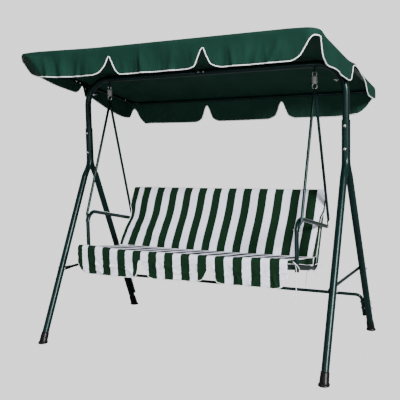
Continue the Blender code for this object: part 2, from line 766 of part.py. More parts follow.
def side_tube_point(x, y):
    return Vector((x, y, side_z(y) - CANOPY_TUBE_DROP))


def make_canopy_end_bar(end_name):
    """A bar across one end of the canopy, turned along both sides as far as the joints."""
    end = ENDS[end_name]
    end_y = end * (CANOPY_REAR[0] - CANOPY_CLOTH - CANOPY_TUBE - 0.001)
    joint_y = end * CANOPY_JOINT_Y
    corners = [side_tube_point(-CANOPY_TUBE_X, joint_y), side_tube_point(-CANOPY_TUBE_X, end_y),
               side_tube_point(CANOPY_TUBE_X, end_y), side_tube_point(CANOPY_TUBE_X, joint_y)]
    path = rounded_path(corners, CANOPY_CORNER - 0.010, steps=4)
    return swept("canopy_" + end_name + "_bar", path, CANOPY_TUBE, GREEN_PAINT, 10, 0.0010)


def make_canopy_side_bar(side_name):
    """A side tube; its thinner ends slide into the two end bars."""
    x = SIDES[side_name] * CANOPY_TUBE_X
    neck = 0.82
    ends = ((CANOPY_JOINT_Y + 0.035, neck), (CANOPY_JOINT_Y + 0.0002, neck), (CANOPY_JOINT_Y - 0.0008, 1.0))
    front = side_tube_point(x, -CANOPY_JOINT_Y)
    rear = side_tube_point(x, CANOPY_JOINT_Y)
    stations = [(-y, scale) for y, scale in ends] + [(y, scale) for y, scale in reversed(ends)]
    path = [front.lerp(rear, (y + CANOPY_JOINT_Y) / (2 * CANOPY_JOINT_Y)) for y, _ in stations]
    scales = [scale for _, scale in stations]
    bar = swept("canopy_side_bar_" + side_name, path, CANOPY_TUBE, GREEN_PAINT, 10, 0.0010, scales)
    bolt = bracket_bolt_centre(SIDES[side_name])
    drill(bar, bolt - Vector((0.03, 0, 0)), bolt + Vector((0.03, 0, 0)), 0.0029)
    return bar


def bracket_bolt_centre(side):
    return side_tube_point(side * CANOPY_TUBE_X, BRACKET_BOLT_Y)


def make_canopy_bracket(side_name):
    """A pressed plate from the pivot bolt up to the inner face of the canopy's side tube."""
    side = SIDES[side_name]
    outer = CANOPY_TUBE_X - CANOPY_TUBE - GAP
    radius = 0.014
    outline = []
    for degrees in (180, 216, 252, 288, 324, 360):
        angle = math.radians(degrees)
        outline.append((radius * math.cos(angle), CANOPY_PIVOT_Z + radius * math.sin(angle)))
    for y, lift in ((0.032, 0.007), (-0.118, 0.007), (-0.122, -0.008), (-0.045, -0.012)):
        outline.append((y, side_tube_point(0, y).z + lift))
    outline.insert(6, (0.030, CANOPY_PIVOT_Z + 0.048))
    outline.append((-0.030, CANOPY_PIVOT_Z + 0.048))
    bm = bmesh.new()
    faces = (outer - BRACKET_THICKNESS, outer)
    rings = [[bm.verts.new((side * x, y, z)) for y, z in outline] for x in faces]
    skin(bm, rings)
    bracket = add_mesh("canopy_bracket_" + side_name, bm, GREEN_PAINT)
    drill(bracket, (side * 0.81, 0, CANOPY_PIVOT_Z), (side * 0.84, 0, CANOPY_PIVOT_Z), 0.0039)
    bolt = bracket_bolt_centre(side)
    drill(bracket, bolt - Vector((side * 0.02, 0, 0)), bolt - Vector((side * 0.005, 0, 0)), 0.0029)
    cut_slot(bracket, side)
    return bracket


def make_bracket_bolt(side_name):
    side = SIDES[side_name]
    face = bracket_bolt_centre(side) - Vector((side * (CANOPY_TUBE + GAP + BRACKET_THICKNESS), 0, 0))
    profile = ((-0.0030, 0.0035), (-0.0022, 0.0052), (-GAP, 0.0056), (-GAP, 0.0025), (0.017, 0.0025))
    return turned("bracket_bolt_" + side_name, face, (side, 0, 0), profile, ZINC, sides=8)


def make_stabiliser_bolt(side_name):
    head, direction = stabiliser_bolt_line(SIDES[side_name])
    return short_screw("stabiliser_bolt_" + side_name, head, direction, 0.024, 0.0027)


def cut_slot(bracket, side):
    """The slanted slot above the pivot."""
    way = Vector((0, 0.812, 0.584))
    across = Vector((0, -0.584, 0.812))
    centre = Vector((0, 0, CANOPY_PIVOT_Z + 0.041))
    half = 0.011
    radius = 0.003
    outline = []
    for end, first in ((1, -90), (-1, 90)):
        for degrees in (0, 60, 120, 180):
            angle = math.radians(first + degrees)
            outline.append(centre + way * (end * half + radius * math.cos(angle))
                           + across * (radius * math.sin(angle)))
    bm = bmesh.new()
    rings = [[bm.verts.new(point + Vector((x, 0, 0))) for point in outline]
             for x in (side * 0.80, side * 0.85)]
    skin(bm, rings)
    cutter = add_mesh(bracket.name + "_slot", bm, GREEN_PAINT)
    cutter.hide_render = True
    cutter.display_type = "WIRE"
    cut = bracket.modifiers.new("slot", "BOOLEAN")
    cut.operation = "DIFFERENCE"
    cut.object = cutter


def make_pivot_bolt(side_name):
    """A carriage bolt through the bracket and the bend of the post."""
    side = SIDES[side_name]
    face = CANOPY_TUBE_X - CANOPY_TUBE - GAP
    profile = ((-0.0034, 0.003), (-0.0026, 0.0065), (-GAP, 0.0085), (-GAP, 0.0033), (0.0740, 0.0033),
               (0.0752, 0.0026))
    base = (side * face, 0, CANOPY_PIVOT_Z)
    return turned("canopy_pivot_bolt_" + side_name, base, (-side, 0, 0), profile, ZINC, sides=10)


def make_wing_nut(side_name):
    """A hub with two wings on the inner end of the pivot bolt."""
    side = SIDES[side_name]
    start = 0.7725
    hub = ((0.0, 0.0085), (0.004, 0.0085), (0.009, 0.0062), (0.010, 0.0062))
    nut = turned("tilt_wing_nut_" + side_name, (side * start, 0, CANOPY_PIVOT_Z), (-side, 0, 0), hub, ZINC)
    bm = bmesh.new()
    outline = ((0.004, 0.001), (0.011, 0.001), (0.019, -0.006), (0.021, -0.012), (0.017, -0.014),
               (0.011, -0.008), (0.004, -0.008))
    wings = list(outline) + [(-reach, back) for reach, back in reversed(outline)]
    rings = [[bm.verts.new((side * (start - 0.0025 + back), reach, CANOPY_PIVOT_Z + thick))
              for reach, back in wings] for thick in (-0.0014, 0.0014)]
    skin(bm, rings)
    wing = add_mesh(nut.name + "_wings", bm, ZINC)
    wing.hide_render = True
    wing.display_type = "WIRE"
    join = nut.modifiers.new("wings", "BOOLEAN")
    join.operation = "UNION"
    join.object = wing
    drill(nut, (side * (start + 0.005), 0, CANOPY_PIVOT_Z), (side * 0.75, 0, CANOPY_PIVOT_Z), 0.0037)
    return nut


def notch_lift(distance):
    """How far the valance's lower edge rises at a distance from a notch's middle."""
    share = min(abs(distance) / NOTCH_HALF, 1.0)
    return NOTCH_DEPTH * 0.5 * (1 + math.cos(math.pi * share ** 0.8))


def canopy_rim():
    """Right half of the roof's rim from the front middle to the rear middle.

    Each entry is x, y and the length that hangs below the rim there.
    """
    front_y = CANOPY_FRONT[0]
    radius = CANOPY_CORNER
    offsets = (-1.0, -0.62, -0.36, -0.16, 0.0, 0.16, 0.36, 0.62, 1.0)
    rim = [(0.0, front_y, VALANCE_ENDS)]
    notch = 0.268
    for offset in offsets:
        x = notch + offset * NOTCH_HALF
        rim.append((x, front_y, VALANCE_ENDS - notch_lift(offset * NOTCH_HALF)))
    straight_end = CANOPY_HALF_WIDTH - radius
    for offset in (-1.0, -0.7):
        x = CANOPY_HALF_WIDTH - 0.018 + offset * NOTCH_HALF
        rim.append((x, front_y, VALANCE_ENDS - notch_lift(offset * NOTCH_HALF)))
    for degrees in (0, 22.5, 45, 67.5, 90):
        angle = math.radians(degrees)
        arc = radius * (angle - math.pi / 4)
        hang = VALANCE_ENDS + (VALANCE_SIDES - VALANCE_ENDS) * degrees / 90
        rim.append((straight_end + radius * math.sin(angle), front_y + radius - radius * math.cos(angle),
                    hang - notch_lift(arc)))
    for y in (front_y + radius + 0.055, -0.340, -0.210):
        rim.append((CANOPY_HALF_WIDTH, y, VALANCE_SIDES))
    for offset in offsets:
        rim.append((CANOPY_HALF_WIDTH, offset * NOTCH_HALF, VALANCE_SIDES - notch_lift(offset * NOTCH_HALF)))
    turned_rim = [(x, -y, hang) for x, y, hang in rim if y < -NOTCH_HALF - 1e-6]
    return rim + turned_rim[::-1]


def make_canopy_fabric():
    """Roof and valances: an open sheet, thickened inwards."""
    right = canopy_rim()
    left = [(-x, y, hang) for x, y, hang in right]
    bm = bmesh.new()
    loop = right + left[-2:0:-1]
    top = []
    for x, y, _ in loop:
        top.append(bm.verts.new((x, y, roof_z(x, y))))
    bottom = []
    for (x, y, hang), vert in zip(loop, top):
        bottom.append(bm.verts.new((x, y, vert.co.z - hang)))
    count = len(loop)
    for index in range(count):
        following = (index + 1) % count
        bm.faces.new((top[index], top[following], bottom[following], bottom[index]))
    roof_faces(bm, top, len(right))
    obj = add_mesh("canopy_fabric", bm, CANOPY_GREEN)
    thick = obj.modifiers.new("cloth", "SOLIDIFY")
    thick.thickness = CANOPY_CLOTH
    thick.offset = -1.0
    thick.use_even_offset = True
    return obj


def roof_faces(bm, top, half_count):
    """The roof: strips across it, each with a slope outside the shoulders and a flat between them."""
    count = len(top)
    right = [k for k in range(half_count) if abs(top[k].co.y) < CANOPY_REAR[0] - 1e-6]
    first = right[0]
    last = right[-1]

    def twin(index):
        return (count - index) % count

    shoulders = {}
    for index in right:
        y = top[index].co.y
        shoulders[index] = [bm.verts.new((side * CANOPY_SHOULDER_X, y, middle_z(y))) for side in (1, -1)]
    for index in right[:-1]:
        near = shoulders[index]
        far = shoulders[index + 1]
        bm.faces.new((near[0], top[index], top[index + 1], far[0]))
        bm.faces.new((near[0], far[0], far[1], near[1]))
        bm.faces.new((near[1], far[1], top[twin(index + 1)], top[twin(index)]))
    front = [top[twin(k)] for k in range(first, 0, -1)] + [top[k] for k in range(first + 1)]
    bm.faces.new([shoulders[first][1]] + front + [shoulders[first][0]])
    rear = [top[k] for k in range(last, half_count)]
    rear += [top[twin(k)] for k in range(half_count - 2, last - 1, -1)]
    bm.faces.new([shoulders[last][0]] + rear + [shoulders[last][1]])


# ---------------------------------------------------------------- tie cords
CORD_RADIUS = 0.00175
TIE_LONG = ((0.6400, -0.3350, 0.5480), (0.6440, -0.3235, 0.5360), (0.6470, -0.3140, 0.5160),
            (0.6480, -0.3105, 0.4900), (0.6475, -0.3110, 0.4550), (0.6480, -0.3150, 0.4150),
            (0.6485, -0.3220, 0.3750), (0.6480, -0.3300, 0.3350))
TIE_SHORT = ((0.6440, -0.3400, 0.5440), (0.6520, -0.3330, 0.5370), (0.6580, -0.3200, 0.5240),
             (0.6600, -0.3060, 0.5100), (0.6605, -0.2930, 0.4950), (0.6600, -0.2850, 0.4780))
TIE_REAR = ((0.6340, 0.0450, 0.4650), (0.6400, 0.0800, 0.4640), (0.6500, 0.1150, 0.4530),
            (0.6570, 0.1420, 0.4340), (0.6580, 0.1480, 0.4130), (0.6520, 0.1300, 0.3990),
            (0.6420, 0.0980, 0.4010), (0.6350, 0.0600, 0.4170), (0.6345, 0.0200, 0.4350),
            (0.6345, -0.0200, 0.4470), (0.6345, -0.0600, 0.4530), (0.6350, -0.0930, 0.4500),
            (0.6355, -0.1110, 0.4330), (0.6360, -0.1200, 0.4100), (0.6360, -0.1270, 0.3850))


def make_cord(name, points):
    return swept(name, smooth_route(points, 3 * 2 * CORD_RADIUS), CORD_RADIUS, CORD_WHITE, 8)


# ---------------------------------------------------------------- assembly
def build():
    for side_name in SIDES:
        for end_name in ENDS:
            leg = make_leg(side_name, end_name)
            drill_post_holes(leg, side_name, end_name)
            if end_name == "rear":
                head, direction = stabiliser_bolt_line(SIDES[side_name])
                drill(leg, head + direction * 0.015, head + direction * 0.030, 0.0031)
            make_foot_cap(side_name, end_name)
            make_hanger_rod(side_name, end_name)
            make_rod_bolt(side_name, end_name)
        make_top_frame_tube(side_name)
        make_post_bolts(side_name)
        screw_face = (RAIL_SCREWS[side_name], -RAIL_RADIUS - GAP, RAIL_Z)
        short_screw("rail_screw_" + side_name, screw_face, (0, 1, 0), 0.007, 0.0024)
        make_brace(side_name)
        make_spring_eye(side_name)
        make_spring(side_name)
        make_armrest(side_name)
        make_seat_side_frame(side_name)
        make_canopy_side_bar(side_name)
        make_canopy_bracket(side_name)
        make_bracket_bolt(side_name)
        make_pivot_bolt(side_name)
        make_stabiliser_bolt(side_name)
        make_wing_nut(side_name)
    make_stabiliser()
    make_cross_rail("seat_front_rail", -0.385)
    make_cross_rail("seat_rear_rail", 0.060)
    make_back_top_rail()
    make_sling()
    make_seat_cushion()
    make_back_cushion()
    make_flap()
    make_canopy_end_bar("front")
    make_canopy_end_bar("rear")
    make_canopy_fabric()
    make_cord("tie_cord_long", TIE_LONG)
    make_cord("tie_cord_short", TIE_SHORT)
    make_cord("tie_cord_rear", TIE_REAR)


build()
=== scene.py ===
"""The looks of the canopy swing bench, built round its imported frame.

Metres, +Z up, +X to the right of someone who faces the bench, -Y towards that person.
"""

import math
from functools import cached_property
from itertools import product

import bmesh
import bpy
from mathutils import Matrix, Vector, noise


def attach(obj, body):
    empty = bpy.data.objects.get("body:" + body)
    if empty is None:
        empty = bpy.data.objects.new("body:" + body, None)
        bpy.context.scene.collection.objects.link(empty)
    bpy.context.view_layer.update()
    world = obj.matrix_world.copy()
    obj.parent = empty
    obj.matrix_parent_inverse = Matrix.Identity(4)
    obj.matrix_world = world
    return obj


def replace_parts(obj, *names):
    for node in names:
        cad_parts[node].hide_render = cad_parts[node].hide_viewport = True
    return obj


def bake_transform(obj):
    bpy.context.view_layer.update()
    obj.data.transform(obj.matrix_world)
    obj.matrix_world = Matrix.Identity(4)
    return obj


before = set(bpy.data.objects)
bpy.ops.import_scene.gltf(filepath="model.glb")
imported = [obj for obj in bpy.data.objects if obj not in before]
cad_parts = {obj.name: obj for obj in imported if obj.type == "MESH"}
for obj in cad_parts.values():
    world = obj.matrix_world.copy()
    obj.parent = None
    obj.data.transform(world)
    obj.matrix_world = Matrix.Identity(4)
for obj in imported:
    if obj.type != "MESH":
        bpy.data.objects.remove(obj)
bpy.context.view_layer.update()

# -------- dimensions
SIDES = {"left": -1, "right": 1}
ENDS = {"front": -1, "rear": 1}

FOOT_X = 0.840
FOOT_Y = 0.4955
POST_X = 0.818
LEG_MEET_Z = 1.0767
LEG_RADIUS = 0.019
SHELL_START_Z = 0.945
SHELL_FULL_Z = 1.068
SHELL_TOP_Z = 1.248
SHELL_OUTER = 0.0226
SHELL_INNER = 0.0196
SHELL_HALF_ANGLE = math.radians(83)
POST_BOLT_HEIGHTS = {"lower": 1.097, "upper": 1.217}

RAIL_Z = 1.546
RAIL_RADIUS = 0.019
POST_BOTTOM_Z = 1.070
CORNER_RADIUS = 0.160
RAIL_JOINT_X = -0.044
RAIL_SCREWS = {"left": -0.028, "right": 0.005}

STABILISER_Z = 0.236
STABILISER_END_Z = 0.100
STABILISER_RADIUS = 0.0095
STABILISER_BOLT_HEIGHTS = {"lower": 0.150, "upper": 0.190}
BRACE_Z = 0.410
BRACE_RADIUS = 0.008
BRACE_THICKNESS = 0.0016

HANGER_X = 0.652
EYE_RING_Z = 1.508
EYE_RING_RADIUS = 0.010
EYE_WIRE = 0.0035
SPRING_WIRE = 0.0021
SPRING_TOP_Z = 1.5048
SPRING_COIL_TOP_Z = 1.4800
SPRING_COIL_BOTTOM_Z = 1.4450
SPRING_BOTTOM_Z = 1.4165
SPRING_RADIUS = 0.0132
SPRING_TURNS = 8
HANGER_HOLE_Z = 1.4140

SIDE_FRAME_X = 0.6177
SIDE_FRAME_RADIUS = 0.0125
SEAT_TILT = 0.194
SEAT_REF = (-0.400, 0.530)
SEAT_FRONT_Y = -0.398
SEAT_BACK_Y = 0.100
BACK_TOP = (0.275, 0.835)
ARM_X = 0.6416
ARM_RADIUS = 0.011
ARM_POST_Y = -0.285
ARM_CORNER_Z = 0.7628
ARM_END = (0.245, 0.652)
ROD_RADIUS = 0.0077
ROD_TAB_HALF = 0.0015
ROD_BOLTS = {"front": (-0.280, 0.700), "rear": (0.228, 0.6555)}
CUSHION_HALF_WIDTH = 0.627
FLAP_Y = -0.4065
FLAP_TOP_Z = 0.5605
END_LIFT_LEFT = 0.014
END_LIFT_RIGHT = 0.008
FLAP_HEM_RISE = 0.008
FLAP_BOTTOM_Z = 0.414

CANOPY_PIVOT_Z = 1.457
CANOPY_HALF_WIDTH = 0.854
CANOPY_FRONT = (-0.592, 1.644)
CANOPY_REAR = (0.592, 1.445)
CANOPY_RISE = 0.034
CANOPY_SHOULDER_X = 0.700      # outside this the roof slopes down to its side edges
CANOPY_SIDE_MIDDLE_Z = 1.533   # the side edge over the pivot
CANOPY_SIDE_FALL = 0.1675      # its fall per metre towards the back
CANOPY_CORNER = 0.060
CANOPY_TUBE = 0.0095
CANOPY_TUBE_X = 0.8420
CANOPY_TUBE_DROP = 0.0125
CANOPY_JOINT_Y = 0.430
BRACKET_THICKNESS = 0.003

STRIPE_PITCH = 0.1002
STRIPE_START = -0.6067         # a white stripe's left edge
STRIPE_GREEN_SHARE = 0.525
STRIPE_SHIFT = STRIPE_PITCH * (STRIPE_GREEN_SHARE - 0.5) / 2   # keeps each green stripe centred

GAP = 0.0003                   # between pieces that touch


# -------- camera, floor and light
WORLD_LIGHT = 0.30             # what the backdrop throws on the bench
WORLD_SEEN = 1.5               # how bright the backdrop and the floor look
CAMERA_PLACE = (1.7114, -3.4346, 1.1622)
CAMERA_YAW, CAMERA_PITCH, CAMERA_ROLL = (math.radians(angle) for angle in (27.0572, -5.2088, -1.2591))
CAMERA_LENS = 59.667
# place, height on the bench's axis that it points at, size and watts
LIGHTS = {"key": ((7.4, -5.2, 4.4), 1.0, (1.8, 3.0), 2100),
          "front": ((0.2, -4.8, 2.2), 1.0, (2.4, 2.0), 26),
          "top": ((0.0, -0.8, 4.2), 1.0, (3.0, 2.0), 60),
          "low": ((0.4, -4.4, 0.35), 1.2, (3.2, 0.3), 34),
          "strip_left": ((-3.6, 0.4, 1.4), 1.0, (0.25, 2.6), 12),
          "rear": ((-2.2, 4.4, 2.6), 1.0, (1.6, 1.6), 60)}


def add_object(name, data):
    obj = bpy.data.objects.new(name, data)
    bpy.context.scene.collection.objects.link(obj)
    return obj


def make_camera():
    """The eye-level view from the bench's front right."""
    data = bpy.data.cameras.new("camera")
    data.sensor_width = 36.0
    data.lens = CAMERA_LENS
    camera = add_object("camera", data)
    turn = Matrix.Rotation(CAMERA_YAW, 4, "Z") @ Matrix.Rotation(math.pi / 2 + CAMERA_PITCH, 4, "X")
    camera.matrix_world = Matrix.Translation(CAMERA_PLACE) @ turn @ Matrix.Rotation(CAMERA_ROLL, 4, "Z")
    bpy.context.scene.camera = camera


def make_lights():
    for name, (spot, aim, size, power) in LIGHTS.items():
        data = bpy.data.lights.new(name, "AREA")
        data.shape = "RECTANGLE"
        data.size, data.size_y = size
        data.energy = power
        light = add_object(name, data)
        light.location = spot
        light.rotation_euler = (Vector((0, 0, aim)) - Vector(spot)).to_track_quat("-Z", "Y").to_euler()


def camera_share(g):
    """1 for what is seen directly, 0 for the light that falls on the bench."""
    return g.add("ShaderNodeLightPath", {}).outputs["Is Camera Ray"]


def make_world():
    """A bright backdrop that throws only a little light of its own."""
    world = bpy.data.worlds.new("studio")
    world.use_nodes = True
    g = Graph(world.node_tree, "Background")
    g.put("Strength", g.span(camera_share(g), WORLD_LIGHT, WORLD_SEEN))
    g.put("Color", (1.0, 1.0, 1.0))
    bpy.context.scene.world = world


def make_floor():
    bm = bmesh.new()
    bmesh.ops.create_grid(bm, x_segments=1, y_segments=1, size=40.0)
    mesh = bpy.data.meshes.new("floor")
    bm.to_mesh(mesh)
    bm.free()
    floor = add_object("floor", mesh)
    floor.location = (0, 0, -0.0005)
    mat, g = simple_material("pale_floor", (0.9, 0.9, 0.9), 0.9)
    glow = g.add("ShaderNodeEmission", {"Strength": WORLD_SEEN})
    dull = g.add("ShaderNodeBsdfDiffuse", {"Color": (0.30, 0.30, 0.30)})
    choose = g.add("ShaderNodeMixShader", {0: camera_share(g), 1: dull.outputs[0], 2: glow.outputs[0]})
    g.tree.links.new(choose.outputs[0], g.tree.nodes["Material Output"].inputs["Surface"])
    mesh.materials.append(mat)


# -------- materials
class Graph:
    """Small helper that adds nodes to a tree and wires them to its shader."""

    def __init__(self, tree, shader="Principled BSDF"):
        self.tree = tree
        self.shader = tree.nodes[shader].inputs

    def fill(self, socket, value):
        """Set a socket to a number or a colour, or link it to another node's output."""
        if isinstance(value, tuple):
            socket.default_value = (*value, 1.0)
        elif isinstance(value, (int, float)):
            socket.default_value = value
        elif value is not None:
            self.tree.links.new(value, socket)

    def put(self, name, value):
        self.fill(self.shader[name], value)

    def add(self, kind, sockets, **settings):
        node = self.tree.nodes.new(kind)
        for name, value in settings.items():
            setattr(node, name, value)
        for key, value in sockets.items():
            self.fill(node.inputs[key], value)
        return node

    @cached_property
    def place(self):
        return self.add("ShaderNodeTexCoord", {}).outputs["Object"]

    def noise(self, scale, detail=2.0, roughness=0.5):
        sockets = {"Vector": self.place, "Scale": scale, "Detail": detail, "Roughness": roughness}
        return self.add("ShaderNodeTexNoise", sockets).outputs["Fac"]

    def math(self, operation, first, second=None):
        return self.add("ShaderNodeMath", {0: first, 1: second}, operation=operation).outputs[0]

    def span(self, value, low, high, from_low=0.0, from_high=1.0):
        sockets = {"Value": value, "From Min": from_low, "From Max": from_high, "To Min": low, "To Max": high}
        return self.add("ShaderNodeMapRange", sockets).outputs[0]

    def mix(self, share, first, second):
        sockets = {"Factor": share, 6: first, 7: second}
        return self.add("ShaderNodeMix", sockets, data_type="RGBA").outputs[2]

    def axes(self):
        return self.add("ShaderNodeSeparateXYZ", {0: self.place}).outputs

    def bump(self, height, strength, distance, normal=None):
        sockets = {"Strength": strength, "Distance": distance, "Height": height, "Normal": normal}
        return self.add("ShaderNodeBump", sockets).outputs[0]

    def weave(self, pitch):
        """Threads crossing at right angles on any face that lies along the axes."""
        pace = 2 * math.pi / pitch
        ridges = [self.math("SINE", self.math("MULTIPLY", axis, pace)) for axis in self.axes()]
        return self.math("ADD", self.math("ADD", ridges[0], ridges[1]), ridges[2])


def simple_material(name, colour, roughness, metallic=0.0, specular=0.5):
    mat = bpy.data.materials.new(name)
    mat.use_nodes = True
    g = Graph(mat.node_tree)
    g.put("Base Color", colour)
    g.put("Roughness", roughness)
    g.put("Metallic", metallic)
    g.put("Specular IOR Level", specular)
    return mat, g


def paint_material():
    """Glossy dark green enamel with dusty, duller patches."""
    mat, g = simple_material("green_enamel", (0.006, 0.040, 0.036), 0.2, specular=0.24)
    g.put("Specular Tint", (0.66, 0.92, 0.89))
    patches = g.span(g.noise(9.0, 4.0, 0.6), 0.0, 1.0, 0.35, 0.7)
    g.put("Base Color", g.mix(patches, (0.0008, 0.0066, 0.0060), (0.0015, 0.0108, 0.0098)))
    g.put("Roughness", g.span(g.noise(12.0), 0.25, 0.33))
    return mat


def zinc_material():
    mat, g = simple_material("zinc_plate", (0.60, 0.60, 0.58), 0.32, 1.0)
    g.put("Base Color", g.mix(g.noise(160.0, 3.0), (0.42, 0.42, 0.41), (0.72, 0.72, 0.70)))
    g.put("Roughness", g.span(g.noise(300.0), 0.22, 0.45))
    return mat


def foot_material():
    mat, g = simple_material("black_plastic", (0.0040, 0.0038, 0.0038), 0.4, specular=0.16)
    g.put("Roughness", g.span(g.noise(60.0, 3.0), 0.30, 0.42))
    g.put("Normal", g.bump(g.noise(900.0), 0.10, 0.0002))
    return mat


def striped_material():
    """Cotton with broad woven stripes that run front to back and up the back."""
    mat, g = simple_material("striped_cotton", (0.8, 0.8, 0.86), 0.85, specular=COTTON_SHINE)
    wander = g.span(g.noise(14.0), -0.0012, 0.0012)
    end_slip = g.span(g.axes()[0], -0.013, 0.0, -0.600, -0.570)
    across = g.math("ADD", g.math("ADD", g.axes()[0], end_slip), wander)
    turns = g.math("DIVIDE", g.math("SUBTRACT", across, STRIPE_START - STRIPE_SHIFT), STRIPE_PITCH)
    share = g.math("FRACT", g.math("ADD", turns, 40.0))
    edge = STRIPE_GREEN_SHARE / 2
    off_middle = g.math("ABSOLUTE", g.math("SUBTRACT", share, 1 - edge))
    green_share = g.span(off_middle, 1.0, 0.0, edge - STRIPE_BLUR, edge + STRIPE_BLUR)
    tone = g.noise(22.0, 4.0, 0.6)
    white = g.mix(tone, (0.72, 0.725, 0.87), (0.82, 0.825, 0.95))
    g.put("Base Color", g.mix(green_share, white, g.mix(tone, *GREEN_COTTON)))
    pitch, strength, depth = COTTON_WEAVE
    g.put("Normal", g.bump(g.noise(55.0, 4.0, 0.6), 0.25, 0.002, g.bump(g.weave(pitch), strength, depth)))
    return mat


def woven_material(name, colour, roughness, specular, clouds, tones, weave, sharpen=None):
    """Cloth with a fine cross weave, whose colour drifts in clouds between two tones."""
    mat, g = simple_material(name, colour, roughness, specular=specular)
    drift = g.noise(*clouds)
    if sharpen:
        drift = g.span(drift, 0.0, 1.0, *sharpen)
    g.put("Base Color", g.mix(drift, *tones))
    pitch, strength, depth = weave
    g.put("Normal", g.bump(g.weave(pitch), strength, depth))
    return mat


# thread pitch, strength and depth
CANOPY_WEAVE = (0.0014, 0.22, 0.0002)
COTTON_WEAVE = (0.0016, 0.25, 0.0003)
COTTON_SHINE = 0.08
STRIPE_BLUR = 0.006            # of a stripe pair's width, at each edge
GREEN_COTTON = ((0.0030, 0.0150, 0.0060), (0.0052, 0.0225, 0.0095))
CLOUDY = (0.3, 0.7)

PAINT = paint_material()
ZINC = zinc_material()
BLACK = foot_material()
CANOPY_CLOTH = woven_material("canopy_polyester", (0.012, 0.115, 0.062), 0.75, 0.06, (5.0, 5.0, 0.6),
                              ((0.0046, 0.0235, 0.0160), (0.0068, 0.0330, 0.0225)), CANOPY_WEAVE, CLOUDY)
# The canopy's inside face: a lighter copy of the canopy green. This is painted light that brightens the
# shaded underside.
CANOPY_INSIDE_PAINTED_LIGHT = woven_material("canopy_inside_painted_light", (0.004, 0.026, 0.015), 0.85, 0.05, (6.0, 5.0, 0.6),
                               ((0.0105, 0.0340, 0.0235), (0.0150, 0.0470, 0.0325)), CANOPY_WEAVE, CLOUDY)
SLING_CLOTH = woven_material("sling_polyester", (0.008, 0.050, 0.030), 0.85, 0.5, (7.0, 4.0),
                             ((0.006, 0.040, 0.024), (0.010, 0.058, 0.036)), (0.0018, 0.30, 0.0003))
STRIPES = striped_material()
BOXING = woven_material("green_cotton", (0.006, 0.025, 0.011), 0.85, COTTON_SHINE, (22.0, 4.0), GREEN_COTTON,
                        COTTON_WEAVE)
PIPING = woven_material("white_piping", (0.82, 0.82, 0.84), 0.7, 0.5, (70.0, 3.0),
                        ((0.74, 0.74, 0.76), (0.88, 0.88, 0.89)), (0.0012, 0.3, 0.0003))


# -------- mesh helpers
def finish_mesh(name, bm, mat, sharp=40.0):
    mesh = bpy.data.meshes.new(name)
    bmesh.ops.recalc_face_normals(bm, faces=bm.faces[:])
    bm.to_mesh(mesh)
    bm.free()
    mesh.materials.append(mat)
    mesh.shade_smooth()
    mesh.set_sharp_from_angle(angle=math.radians(sharp))
    return add_object(name, mesh)


def place(obj, body, *nodes):
    """Let the piece ride on its body and stand for the CAD nodes that it replaces."""
    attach(obj, body)
    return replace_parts(obj, *nodes) if nodes else obj


def add_piece(name, bm, mat, body, *nodes, sharp=40.0):
    return place(finish_mesh(name, bm, mat, sharp), body, *nodes)


def stand_in(node, ending, bm, mat, body, sharp=40.0):
    """A piece that takes one CAD node's place and name."""
    return add_piece(node + ending, bm, mat, body, node, sharp=sharp)


def thicken(obj, thickness, offset=0.0):
    cloth = obj.modifiers.new("cloth", "SOLIDIFY")
    cloth.thickness = thickness
    cloth.offset = offset
    return cloth


def smooth_step(share):
    share = min(max(share, 0.0), 1.0)
    return share * share * (3 - 2 * share)


def arc(centre, across, up, start, stop, steps):
    """Points round a centre between two angles in degrees; across and up are the half axes."""
    centre, across, up = Vector(centre), Vector(across), Vector(up)
    turns = [math.radians(start + (stop - start) * step / steps) for step in range(steps + 1)]
    return [centre + across * math.cos(turn) + up * math.sin(turn) for turn in turns]


def rounded_path(corners, radius, steps=14):
    """A polyline through the corners, with each inner corner turned into an arc."""
    corners = [Vector(c) for c in corners]
    path = [corners[0]]
    for before, corner, after in zip(corners, corners[1:], corners[2:]):
        to_before = (before - corner).normalized()
        to_after = (after - corner).normalized()
        half = to_before.angle(to_after) / 2
        centre = corner + (to_before + to_after).normalized() * (radius / math.sin(half))
        spoke = corner + to_before * (radius / math.tan(half)) - centre
        path += arc(centre, spoke, -to_before * radius, 0, 180 - math.degrees(2 * half), steps)
    return path + [corners[-1]]


def path_frames(path):
    """Two directions across the path at each point, carried along without twist."""
    last = len(path) - 1
    tangents = [(path[min(k + 1, last)] - path[max(k - 1, 0)]).normalized() for k in range(last + 1)]
    across = tangents[0].orthogonal().normalized()
    frames = []
    for tangent in tangents:
        across = (across - tangent * across.dot(tangent)).normalized()
        frames.append((across, tangent.cross(across)))
    return frames


def ring(bm, centre, across, up, half_across, half_up, count):
    points = arc(centre, across * half_across, up * half_up, 0, 360, count)
    return [bm.verts.new(point) for point in points[:-1]]


def skin(bm, rings):
    """Faces between neighbouring rings, and a cap at each end."""
    for low, high in zip(rings, rings[1:]):
        for index in range(len(low)):
            following = (index + 1) % len(low)
            bm.faces.new((low[index], low[following], high[following], high[index]))
    bm.faces.new(rings[0])
    bm.faces.new(rings[-1])


def quads(bm, strips):
    """Faces between neighbouring strips of vertices."""
    for low, high in zip(strips, strips[1:]):
        for row in range(len(low) - 1):
            bm.faces.new((low[row], low[row + 1], high[row + 1], high[row]))


